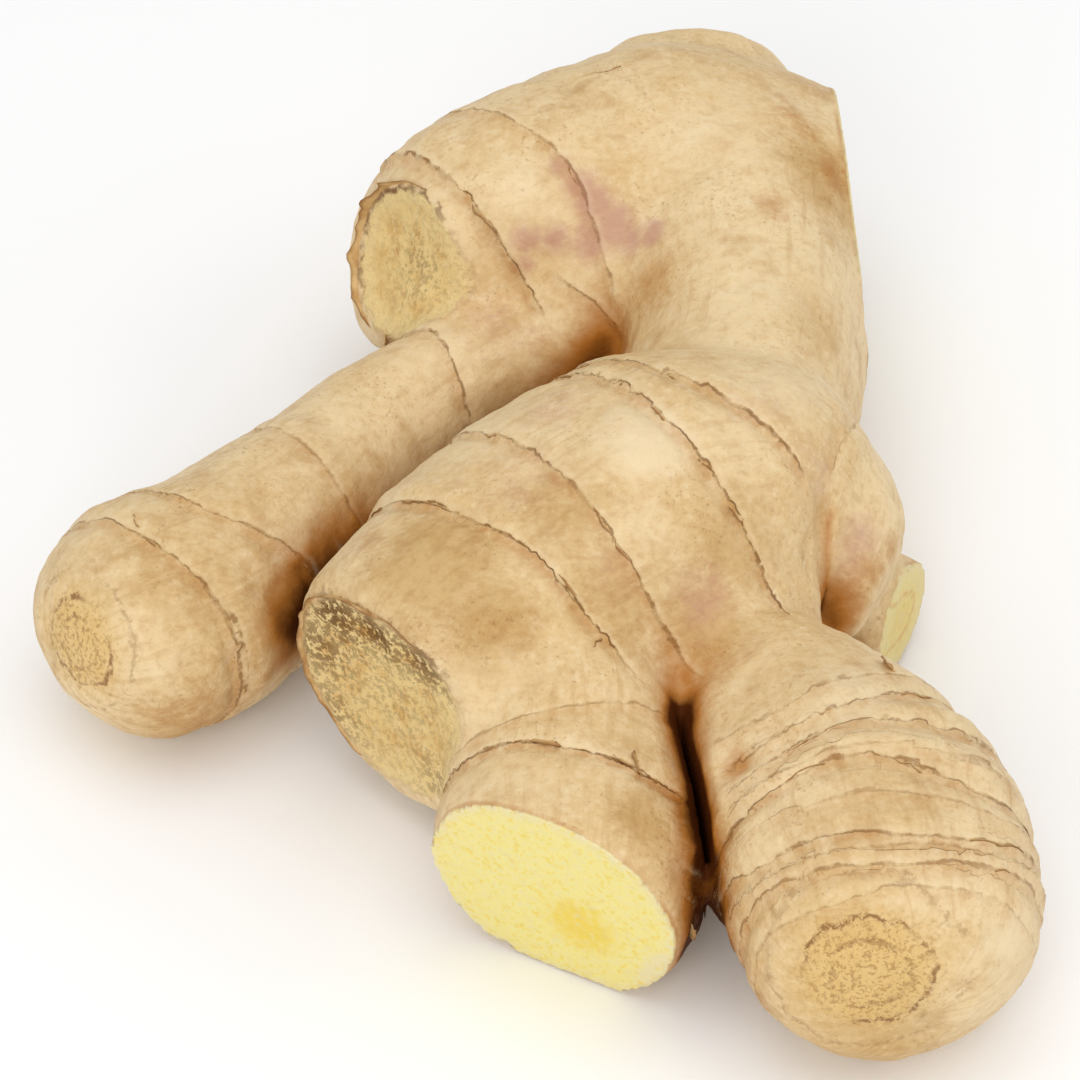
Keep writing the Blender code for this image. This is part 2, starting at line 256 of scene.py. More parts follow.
RINGS = (
    Ring("middle_body", 1, 42.0, 3.2, 1.5, 0.9, 0.35),
    Ring("middle_body", 2, 33.4, 2.3, 0.0, 0.75, 0.2),
    Ring("middle_body", 3, 20.0, 2.3, 1.9, 0.85, 0.3),
    Ring("middle_body", 4, 9.3, 9.2, 6.8, 0.8, 0.25),
    Ring("middle_body", 5, 3.7, -2.6, 0.2, 0.5, 0.0),
    Ring("long_finger", 1, 9.9, 4.3, 1.1, 0.6, 0.1),
    Ring("long_finger", 2, 27.2, -0.9, -0.9, 0.7, 0.15),
    Ring("long_finger", 3, 50.4, -1.3, -0.2, 0.45, 0.05),
    Ring("long_finger", 4, 66.4, 5.9, -1.2, 0.6, 0.1),
    Ring("long_finger", 5, 73.1, 4.7, -0.9, 0.7, 0.15),
    Ring("cut_finger", 1, 18.0, 1.0, -0.4, 0.45, 0.1),
    Ring("cut_finger", 2, 24.1, -3.3, -0.7, 0.95, 0.4),
    Ring("ringed_finger", 1, 29.9, -1.7, 1.5, 0.6, 0.2),
    Ring("ringed_finger", 2, 33.4, -2.8, 1.1, 0.65, 0.2),
    Ring("ringed_finger", 3, 38.5, -4.5, 0.0, 0.7, 0.25),
    Ring("ringed_finger", 4, 43.4, -2.6, 2.4, 0.62, 0.2),
    Ring("ringed_finger", 5, 47.6, -2.4, 1.0, 0.6, 0.15),
    Ring("ringed_finger", 6, 26.6, -1.2, 1.6, 0.45, 0.0),
    Ring("ringed_finger", 7, 36.1, -3.6, 0.6, 0.4, 0.0),
    Ring("ringed_finger", 8, 41.0, -3.4, 1.4, 0.35, 0.0),
    Ring("ringed_finger", 9, 45.4, -2.4, 1.8, 0.35, 0.0),
    Ring("ringed_finger", 10, 51.2, -2.0, 0.6, 0.4, 0.0),
    Ring("back_lobe", 1, 45.9, 5.7, 0.3, 0.6, 0.1),
    Ring("back_lobe", 2, 51.3, 4.0, 3.8, 0.85, 0.3),
)

SCARS = (
    Scar((-14.8, 40.3, 25.2), (-0.80, -0.42, 0.40), 8.8, ScarKind.TORN),
    Scar((-15.6, -22.9, 19.2), (-0.69, -0.71, -0.06), 12.4, ScarKind.TORN),
    Scar((-48.0, -13.9, 18.0), (-0.66, -0.69, 0.25), 7.5, ScarKind.DRY),
    Scar((31.2, -62.4, 20.2), (-0.02, -0.97, 0.24), 10.0, ScarKind.DRY),
    Scar((10.0, 75.3, 22.0), (-0.53, 0.83, -0.20), 3.2, ScarKind.ROOT),
    Scar((-2.0, 64.4, 12.0), (-0.61, 0.63, -0.48), 2.6, ScarKind.ROOT),
    Scar((6.0, 52.0, 2.3), (-0.36, -0.14, -0.92), 2.8, ScarKind.ROOT),
    Scar((35.7, 30.0, 18.0), (0.98, -0.09, -0.15), 3.4, ScarKind.ROOT),
    Scar((20.0, 24.0, 5.3), (-0.17, 0.02, -0.98), 3.0, ScarKind.ROOT),
    Scar((40.1, -28.0, 12.0), (0.74, 0.56, -0.36), 2.8, ScarKind.ROOT),
    Scar((2.0, -8.0, 3.0), (0.0, -0.01, -1.0), 3.6, ScarKind.ROOT),
    Scar((12.0, 4.0, 4.1), (0.05, 0.29, -0.96), 2.6, ScarKind.ROOT),
    Scar((-22.0, 14.0, 6.1), (0.26, 0.18, -0.95), 2.8, ScarKind.ROOT),
    Scar((-48.1, 6.0, 14.0), (-0.61, 0.79, 0.02), 2.8, ScarKind.ROOT),
)

CUTS = (
    Cut((2.5, -46.2, 13.5), (-0.46, -0.87, -0.14), 18.0, 0.0, (4.0, -46.6, 10.5)),
    Cut((39.05, 0.9, 8.0), (0.90, -0.43, 0.05), 6.8, 0.75, (39.0, 1.0, 8.0)),
    Cut((34.7, 60.0, 22.0), (0.995, 0.05, 0.08), 26.0, 1.0, (35.0, 55.0, 18.0)),
)

FOLDS = (
    Fold(((14.0, -29.5, 21.0), (14.6, -33.5, 15.0), (15.8, -40.0, 10.0), (16.4, -44.5, 9.0)), 1.1, 0.75),
    Fold(((29.4, -5.0, 26.0), (29.9, -8.0, 17.0), (30.6, -10.5, 13.0), (32.5, -12.0, 12.0)), 1.4, 0.0),
)

PINK_STAINS = (
    Stain((2.4, 42.4, 37.0), 2.2, 0.75),
    Stain((4.2, 41.0, 35.8), 2.6, 0.9),
    Stain((6.0, 39.5, 34.2), 3.0, 1.0),
    Stain((8.4, 38.2, 32.2), 3.4, 1.0),
    Stain((12.6, 35.9, 33.1), 2.2, 0.9),
    Stain((10.4, 37.0, 31.2), 2.6, 0.95),
    Stain((5.5, 37.3, 31.0), 3.0, 0.95),
    Stain((1.8, 37.2, 31.2), 2.6, 0.85),
    Stain((-1.6, 36.9, 31.2), 2.4, 0.85),
    Stain((-1.6, 35.9, 28.9), 1.8, 0.8),
    Stain((16.5, -19.5, 29.5), 4.5, 0.65),
    Stain((20.5, -25.5, 28.8), 4.5, 0.4),
    Stain((32.3, -3.5, 22.5), 5.0, 0.65),
    Stain((27.0, -3.0, 32.0), 7.0, 0.45),
    Stain((22.4, 1.0, 38.0), 7.0, 0.4),
    Stain((-4.4, 30.0, 24.1), 6.0, 0.45),
    Stain((-2.0, -11.2, 38.2), 7.0, 0.45),
    Stain((2.0, -1.0, 39.0), 6.0, 0.45),
    Stain((8.0, -20.0, 33.0), 5.0, 0.45),
)

# Rusty patches of the skin, and painted shade under the limbs, beside the slit and by the crotch and bud crevices.
RUST_AND_SHADE_STAINS = (
    Stain((25.1, 35.5, 37.2), 3.0, 0.75),
    Stain((20.0, 44.5, 38.5), 2.5, 0.55),
    Stain((29.1, 51.2, 37.1), 6.0, 0.5),
    Stain((32.5, 46.0, 33.0), 4.5, 0.65),
    Stain((31.0, 60.0, 33.0), 7.0, 0.5),
    Stain((12.5, 29.5, 31.5), 6.5, 0.55),
    Stain((7.5, 30.5, 23.5), 5.0, 1.0),
    Stain((1.0, 31.0, 21.0), 4.0, 0.7),
    Stain((16.5, -31.0, 25.0), 4.0, 0.3),
    Stain((19.0, -43.0, 20.0), 4.5, 0.9),
    Stain((18.8, -49.0, 16.0), 5.0, 0.8),
    Stain((34.8, -4.7, 20.0), 2.6, 0.8),
    Stain((37.3, -1.5, 20.2), 2.2, 0.75),
    Stain((33.0, -7.6, 18.0), 3.0, 0.9),
    Stain((19.2, -40.1, 26.7), 2.2, 1.0),
    Stain((-36.0, -14.0, 10.0), 10.0, 0.6),
    Stain((-27.0, -6.0, 12.0), 11.0, 0.4),
    Stain((20.0, -50.0, 12.0), 10.0, 0.7),
    Stain((11.5, -43.5, 20.0), 4.0, 0.6),
    Stain((31.0, -10.0, 17.5), 4.5, 1.0),
    Stain((34.5, -6.5, 21.0), 3.0, 0.9),
    Stain((-17.5, -14.5, 33.0), 4.0, 0.5),
    Stain((5.0, 8.0, 36.0), 8.0, 0.3),
)

# Painted light: paler patches on the lit tops of the limbs.
PAINTED_LIGHT_STAINS = (
    Stain((10.8, -7.0, 40.0), 5.5, 1.0),
    Stain((-2.2, 41.2, 36.2), 6.0, 0.5),
    Stain((17.7, 47.0, 38.8), 8.0, 0.5),
    Stain((25.6, 21.3, 35.3), 8.0, 0.5),
    Stain((44.5, -58.0, 21.0), 4.0, 0.8),
    Stain((9.0, 66.0, 35.0), 8.0, 0.4),
    Stain((30.0, -35.0, 31.0), 7.0, 0.4),
    Stain((-16.5, -8.0, 32.0), 5.0, 0.6),
    Stain((-6.0, 2.0, 37.0), 8.0, 0.5),
    Stain((25.0, 3.0, 36.0), 7.0, 0.5),
    Stain((-12.0, 27.5, 24.0), 7.0, 0.5),
    Stain((-3.0, -29.5, 30.0), 4.0, 0.5),
)

# Painted shade: darker patches on shaded sides and undersides, multiplied in, some of them the skin's own darker tone.
SHADE_AND_TONE_STAINS = (
    Stain((-11.0, -20.7, 34.6), 8.0, 1.0),
    Stain((-5.0, -25.0, 32.5), 6.0, 0.9),
    Stain((2.0, -15.0, 37.5), 7.0, 0.7),
    Stain((8.0, -21.0, 32.0), 7.0, 0.8),
    Stain((16.5, -21.5, 28.0), 6.0, 1.0),
    Stain((9.7, -45.5, 24.0), 4.0, 1.0),
    Stain((19.5, -14.5, 33.0), 7.0, 0.8),
    Stain((33.0, -48.0, 31.5), 9.0, 0.5),
    Stain((-33.0, -3.0, 26.0), 7.0, 0.4),
    Stain((4.0, 55.0, 38.0), 9.0, 0.4),
    Stain((32.0, 44.0, 34.0), 8.0, 0.9),
    Stain((29.0, 20.0, 33.0), 6.0, 0.6),
    Stain((-37.0, -9.0, 23.0), 10.0, 0.6),
    Stain((-38.0, -14.0, 9.0), 8.0, 0.9),
    Stain((31.0, -58.0, 10.0), 10.0, 0.8),
    Stain((20.0, -45.0, 21.0), 5.0, 0.9),
    Stain((9.0, -35.0, 24.0), 5.0, 0.5),
)

# Painted shade: extra darkening added to the shade of the deepest crevices.
CREVICE_SHADE_STAINS = (
    Stain((7.2, 30.0, 21.6), 3.2, 0.15),
    Stain((9.8, 25.5, 25.0), 3.5, 0.15),
    Stain((12.0, 19.8, 31.5), 2.2, 0.1),
    Stain((30.3, -9.5, 18.0), 3.0, 0.3),
    Stain((14.2, -30.0, 22.0), 2.6, 0.3),
    Stain((15.6, -38.0, 18.0), 3.0, 0.3),
    Stain((16.6, -45.0, 15.0), 3.0, 0.3),
    Stain((16.6, -47.5, 9.0), 4.0, 0.45),
)

FLECKED_STAINS = (
    Stain((-20.5, -18.5, 27.5), 6.5, 1.0),
    Stain((-16.0, -23.0, 28.5), 5.0, 1.0),
    Stain((-11.5, -27.0, 28.5), 5.0, 0.95),
    Stain((-22.5, -16.0, 20.0), 5.5, 0.8),
    Stain((-22.0, -17.0, 11.0), 6.0, 0.6),
    Stain((-16.0, -23.0, 20.0), 12.0, 0.3),
    Stain((-10.0, -28.5, 12.0), 5.0, 0.5),
    Stain((-14.0, 39.0, 26.0), 5.0, 0.4),
)

CRACK_STAINS = (
    Stain((-21.5, 46.5, 24.0), 5.0, 1.0),
    Stain((-17.5, 45.0, 31.0), 5.0, 1.0),
    Stain((-11.5, 42.0, 34.5), 4.0, 0.9),
    Stain((-25.0, -13.0, 27.0), 5.0, 1.0),
    Stain((-18.0, -18.5, 32.0), 5.0, 1.0),
    Stain((-10.5, -26.0, 30.0), 4.5, 0.9),
)

FLAKES = (
    Flake((34.9, -29.7, 29.1), 2.6, 1.4, 0.8, 0.4),
    Flake((15.4, -48.6, 12.4), 2.4, 1.2, 0.9, 1.2),
    Flake((7.3, 57.4, 39.7), 3.2, 1.0, 0.3, 2.0),
    Flake((9.8, -38.5, 25.0), 2.6, 1.0, 0.4, 0.2),
    Flake((20.2, -11.8, 34.7), 2.0, 0.8, 0.3, 0.9),
    Flake((5.0, -25.4, 29.5), 2.0, 0.8, 0.3, 2.6),
    Flake((-17.4, 37.8, 17.0), 2.4, 1.1, 0.6, 1.0),
    Flake((-41.4, -4.8, 27.1), 1.8, 0.7, 0.25, 0.3),
)


def linear(colour: tuple) -> tuple:
    """A colour of 0 to 255 parts as scene-linear parts with full cover.

    Args:
        colour: red, green and blue from 0 to 255.

    Returns:
        Red, green, blue and alpha as the shader takes them.
    """
    parts = [part / 255 for part in colour]
    return tuple(part / 12.92 if part <= 0.04045 else ((part + 0.055) / 1.055) ** 2.4 for part in parts) + (1.0,)


def unit(vector: Any) -> np.ndarray:
    """The vector at length one.

    Args:
        vector: three numbers.

    Returns:
        The same direction with length one.
    """
    rows = np.asarray(vector, float)
    return rows / np.linalg.norm(rows)


def noise_at(points: np.ndarray) -> np.ndarray:
    """Smooth noise at each point.

    Args:
        points: rows of three coordinates.

    Returns:
        One value between -1 and 1 for each row.
    """
    return np.array([noise.noise(Vector(point)) for point in points.tolist()])


def smooth_step(values: np.ndarray, low: float, high: float) -> np.ndarray:
    """A soft step from 0 at low to 1 at high.

    Args:
        values: the numbers to map.
        low: where the step starts.
        high: where the step ends.

    Returns:
        The share of the step that each number has climbed.
    """
    share = np.clip((values - low) / (high - low), 0.0, 1.0)
    return share * share * (3.0 - 2.0 * share)


def pick_only(obj: bpy.types.Object) -> None:
    """Select one object alone and make it active.

    Args:
        obj: the object that the next operators act on.
    """
    bpy.ops.object.select_all(action="DESELECT")
    obj.select_set(True)
    bpy.context.view_layer.objects.active = obj


def apply_modifier(obj: bpy.types.Object, kind: str, **settings: Any) -> None:
    """Put a modifier on an object and apply it.

    Args:
        obj: the object.
        kind: the modifier's type.
        **settings: its values by name.
    """
    pick_only(obj)
    modifier = obj.modifiers.new(kind.lower(), kind)
    for name, value in settings.items():
        setattr(modifier, name, value)
    bpy.ops.object.modifier_apply(modifier=modifier.name)


def rows_of(data: bpy.types.Mesh, attribute: str) -> np.ndarray:
    """One vector per vertex of a mesh.

    Args:
        data: the mesh.
        attribute: "co" or "normal".

    Returns:
        The vectors as rows.
    """
    rows = np.empty(len(data.vertices) * 3)
    data.vertices.foreach_get(attribute, rows)
    return rows.reshape(-1, 3)


def put_rows(data: bpy.types.Mesh, points: np.ndarray) -> None:
    """Move a mesh's vertices.

    Args:
        data: the mesh.
        points: the new places as rows, in metres.
    """
    data.vertices.foreach_set("co", points.ravel())
    data.update()


def put_attribute(data: bpy.types.Mesh, name: str, values: np.ndarray) -> None:
    """Store one number or one vector for each vertex.

    Args:
        data: the mesh.
        name: the attribute's name.
        values: a value, or a row of three, for each vertex.
    """
    if values.ndim == 1:
        layer = data.attributes.new(name, "FLOAT", "POINT")
        layer.data.foreach_set("value", values.astype(np.float32))
    else:
        layer = data.attributes.new(name, "FLOAT_VECTOR", "POINT")
        layer.data.foreach_set("vector", values.astype(np.float32).ravel())


@dataclass
class Spine:
    """The middle line of a limb, ready to measure points against.

    Rows run along the limb: centres, half sizes, tangents, side and top directions, and the distance run.
    """

    limb: Limb
    centres: np.ndarray = field(init=False)
    halves: np.ndarray = field(init=False)
    tangents: np.ndarray = field(init=False)
    side: np.ndarray = field(init=False)
    top: np.ndarray = field(init=False)
    run: np.ndarray = field(init=False)

    def __post_init__(self) -> None:
        """Work out the rows from the limb's stations."""
        stations = np.array(self.limb.stations, float)
        spans = np.linalg.norm(np.diff(stations[:, :3], axis=0), axis=1)
        rows = self.smooth_rows(stations, max(3, round(spans.mean() / SPINE_STEP)))
        self.centres, self.halves = rows[:, :3], rows[:, 3:]
        tangents = np.gradient(self.centres, axis=0)
        self.tangents = tangents / np.linalg.norm(tangents, axis=1)[:, None]
        side = np.cross(self.tangents, (0.0, 0.0, 1.0))
        self.side = side / np.linalg.norm(side, axis=1)[:, None]
        self.top = np.cross(self.side, self.tangents)
        steps = np.linalg.norm(np.diff(self.centres, axis=0), axis=1)
        self.run = np.concatenate(([0.0], np.cumsum(steps)))

    @staticmethod
    def smooth_rows(points: np.ndarray, per_span: int) -> np.ndarray:
        """A smooth run of rows through the given rows.

        Args:
            points: the rows to pass through.
            per_span: how many rows to give each span.

        Returns:
            The rows of the smooth run.
        """
        padded = np.vstack([2 * points[0] - points[1], points, 2 * points[-1] - points[-2]])
        rows = []
        for i in range(len(points) - 1):
            a, b, c, d = padded[i : i + 4]
            for t in np.arange(per_span) / per_span:
                rows.append(
                    0.5 * (2 * b + (c - a) * t + (2 * a - 5 * b + 4 * c - d) * t**2 + (3 * b - a - 3 * c + d) * t**3)
                )
        rows.append(points[-1])
        return np.array(rows)

    def measure(self, points: np.ndarray) -> tuple:
        """Measure points against the limb.

        Args:
            points: rows of three coordinates.

        Returns:
            The distance along the limb, the turn round it as cosine and sine, the distance from its middle in limb
            radii, and the limb's mean radius there.
        """
        nearest = np.concatenate(
            [
                np.argmin(((part[:, None, :] - self.centres[None]) ** 2).sum(axis=2), axis=1)
                for part in np.array_split(points, 12)
            ]
        )
        gap = points - self.centres[nearest]
        past = (gap * self.tangents[nearest]).sum(axis=1)
        across = (gap * self.side[nearest]).sum(axis=1) / self.halves[nearest, 0]
        upward = (gap * self.top[nearest]).sum(axis=1) / self.halves[nearest, 1]
        ratio = np.hypot(across, upward)
        turn = np.column_stack([across, upward]) / np.maximum(ratio, 1e-6)[:, None]
        return self.run[nearest] + past, turn, ratio, self.halves[nearest].mean(axis=1)

    def ray(self, distance: float, turn: tuple) -> tuple:
        """The ray from the middle line out through the skin.

        Args:
            distance: how far along the limb.
            turn: cosine and sine of the angle round the limb.

        Returns:
            The ray's start, its direction, and the limb's own radius along it.
        """
        at = [np.interp(distance, self.run, column) for column in self.centres.T]
        half = [np.interp(distance, self.run, column) for column in self.halves.T]
        index = int(np.searchsorted(self.run, distance).clip(0, len(self.run) - 1))
        over = distance - np.clip(distance, 0.0, self.run[-1])
        start = np.array(at) + over * self.tangents[index]
        reach = self.side[index] * half[0] * turn[0] + self.top[index] * half[1] * turn[1]
        radius = float(np.linalg.norm(reach))
        return start, reach / radius, radius


def ring_plane(ring: Ring, turn: np.ndarray) -> np.ndarray:
    """How far along its limb a ring runs, for each turn round the limb.

    Args:
        ring: the ring.
        turn: rows of cosine and sine.

    Returns:
        The distance along the limb at each turn.
    """
    seeds = np.column_stack([turn * 1.6, np.full(len(turn), 3.7 * ring.number)])
    return ring.distance + turn @ (ring.side_lean, ring.top_lean) + RING_WOBBLE * noise_at(seeds)


@dataclass
class Bench:
    """A material's nodes, with short ways to add and join them."""

    name: str
    material: bpy.types.Material = field(init=False)

    def __post_init__(self) -> None:
        """Make the material with its one shader."""
        self.material = bpy.data.materials.new(self.name)
        self.material.use_nodes = True

    @property
    def shader(self) -> bpy.types.Node:
        """The shader that the material ends in."""
        return self.material.node_tree.nodes["Principled BSDF"]

    def add(self, kind: str, **settings: Any) -> bpy.types.Node:
        """Add a node.

        Args:
            kind: the node's type.
            **settings: its values by name.

        Returns:
            The node.
        """
        node = self.material.node_tree.nodes.new(kind)
        for name, value in settings.items():
            setattr(node, name, value)
        return node

    def feed(self, socket: bpy.types.NodeSocket, value: Any) -> None:
        """Join a socket to another one, or set it to a plain value.

        Args:
            socket: the input.
            value: an output socket, a number or a row of numbers.
        """
        if isinstance(value, bpy.types.NodeSocket):
            self.material.node_tree.links.new(value, socket)
        else:
            socket.default_value = value

    def math(self, operation: str, first: Any, second: Any = 0.0, clamp: bool = False) -> bpy.types.NodeSocket:
        """A sum of two numbers.

        Args:
            operation: the kind of sum.
            first: the first number.
            second: the second number.
            clamp: keep the answer between 0 and 1.

        Returns:
            The answer.
        """
        node = self.add("ShaderNodeMath", operation=operation, use_clamp=clamp)
        self.feed(node.inputs[0], first)
        self.feed(node.inputs[1], second)
        return node.outputs[0]

    def times(self, *factors: Any) -> bpy.types.NodeSocket:
        """The product of several numbers.

        Args:
            *factors: two or more numbers.

        Returns:
            Their product.
        """
        product = factors[0]
        for factor in factors[1:]:
            product = self.math("MULTIPLY", product, factor)
        return product

    def plus(self, *terms: Any) -> bpy.types.NodeSocket:
        """The sum of several numbers.

        Args:
            *terms: two or more numbers.

        Returns:
            Their sum.
        """
        total = terms[0]
        for term in terms[1:]:
            total = self.math("ADD", total, term)
        return total

    def rest_of(self, share: Any) -> bpy.types.NodeSocket:
        """One less a share.

        Args:
            share: a number from 0 to 1.

        Returns:
            What is left of one.
        """
        return self.math("SUBTRACT", 1.0, share)

    def stretch(self, vector: Any, factors: tuple) -> bpy.types.NodeSocket:
        """A vector scaled along each axis.

        Args:
            vector: the vector.
            factors: one factor for each axis.

        Returns:
            The scaled vector.
        """
        node = self.add("ShaderNodeVectorMath", operation="MULTIPLY")
        self.feed(node.inputs[0], vector)
        self.feed(node.inputs[1], factors)
        return node.outputs[0]

    def place(self) -> bpy.types.NodeSocket:
        """The place on the piece, in millimetres."""
        return self.stretch(self.add("ShaderNodeTexCoord").outputs["Object"], (1000.0, 1000.0, 1000.0))

    def value(self, name: str) -> bpy.types.NodeSocket:
        """One of the piece's own numbers."""
        return self.add("ShaderNodeAttribute", attribute_name=name).outputs["Fac"]

    def vector(self, name: str) -> bpy.types.NodeSocket:
        """One of the piece's own vectors."""
        return self.add("ShaderNodeAttribute", attribute_name=name).outputs["Vector"]

    def grain(self, vector: Any, size: float, detail: float = 2.0, roughness: float = 0.5) -> bpy.types.NodeSocket:
        """Cloudy noise about 0.5.

        Args:
            vector: where to read it.
            size: the size of its clouds, in the vector's units.
            detail: how many finer layers it has.
            roughness: how strong the finer layers are.

        Returns:
            The noise.
        """
        node = self.add("ShaderNodeTexNoise")
        self.feed(node.inputs["Vector"], vector)
        node.inputs["Scale"].default_value = 1.0 / size
        node.inputs["Detail"].default_value = detail
        node.inputs["Roughness"].default_value = roughness
        return node.outputs["Fac"]

    def cells(self, vector: Any, size: float) -> bpy.types.NodeSocket:
        """The distance to the middle of the nearest cell.

        Args:
            vector: where to read it.
            size: the size of the cells, in the vector's units.

        Returns:
            The distance, in cell sizes.
        """
        node = self.add("ShaderNodeTexVoronoi")
        self.feed(node.inputs["Vector"], vector)
        node.inputs["Scale"].default_value = 1.0 / size
        return node.outputs["Distance"]

    def step(self, value: Any, low: float, high: float, top: float = 1.0) -> bpy.types.NodeSocket:
        """A soft step from 0 at low to top at high.

        Args:
            value: the number to map.
            low: where the step starts.
            high: where the step ends.
            top: the height of the step.

        Returns:
            The height at the value.
        """
        node = self.add("ShaderNodeMapRange", interpolation_type="SMOOTHSTEP", clamp=True)
        self.feed(node.inputs["Value"], value)
        node.inputs["From Min"].default_value = low
        node.inputs["From Max"].default_value = high
        node.inputs["To Min"].default_value = 0.0
        node.inputs["To Max"].default_value = top
        return node.outputs["Result"]

    def mix(self, share: Any, first: Any, second: Any, blend: str = "MIX") -> bpy.types.NodeSocket:
        """Two colours mixed.

        Args:
            share: how much of the second.
            first: the first colour, a socket or 0 to 255 parts.
            second: the second colour, likewise.
            blend: how they mix.

        Returns:
            The mixed colour.
        """
        node = self.add("ShaderNodeMix", data_type="RGBA", blend_type=blend)
        self.feed(node.inputs[0], share)
        self.feed(node.inputs[6], linear(first) if isinstance(first, tuple) else first)
        self.feed(node.inputs[7], linear(second) if isinstance(second, tuple) else second)
        return node.outputs[2]

    def finish(self, colour: Any, roughness: Any, height: Any, specular: Any) -> bpy.types.Material:
        """Join the last values to the shader.

        Args:
            colour: the surface colour.
            roughness: the surface roughness.
            height: the relief in millimetres.
            specular: the shader's specular level.

        Returns:
            The material.
        """
        bump = self.add("ShaderNodeBump")
        bump.inputs["Distance"].default_value = MM
        bump.inputs["Strength"].default_value = 1.0
        self.feed(bump.inputs["Height"], height)
        self.feed(self.shader.inputs["Base Color"], colour)
        self.feed(self.shader.inputs["Roughness"], roughness)
        self.feed(self.shader.inputs["Normal"], bump.outputs["Normal"])
        self.feed(self.shader.inputs["Specular IOR Level"], specular)
        return self.material


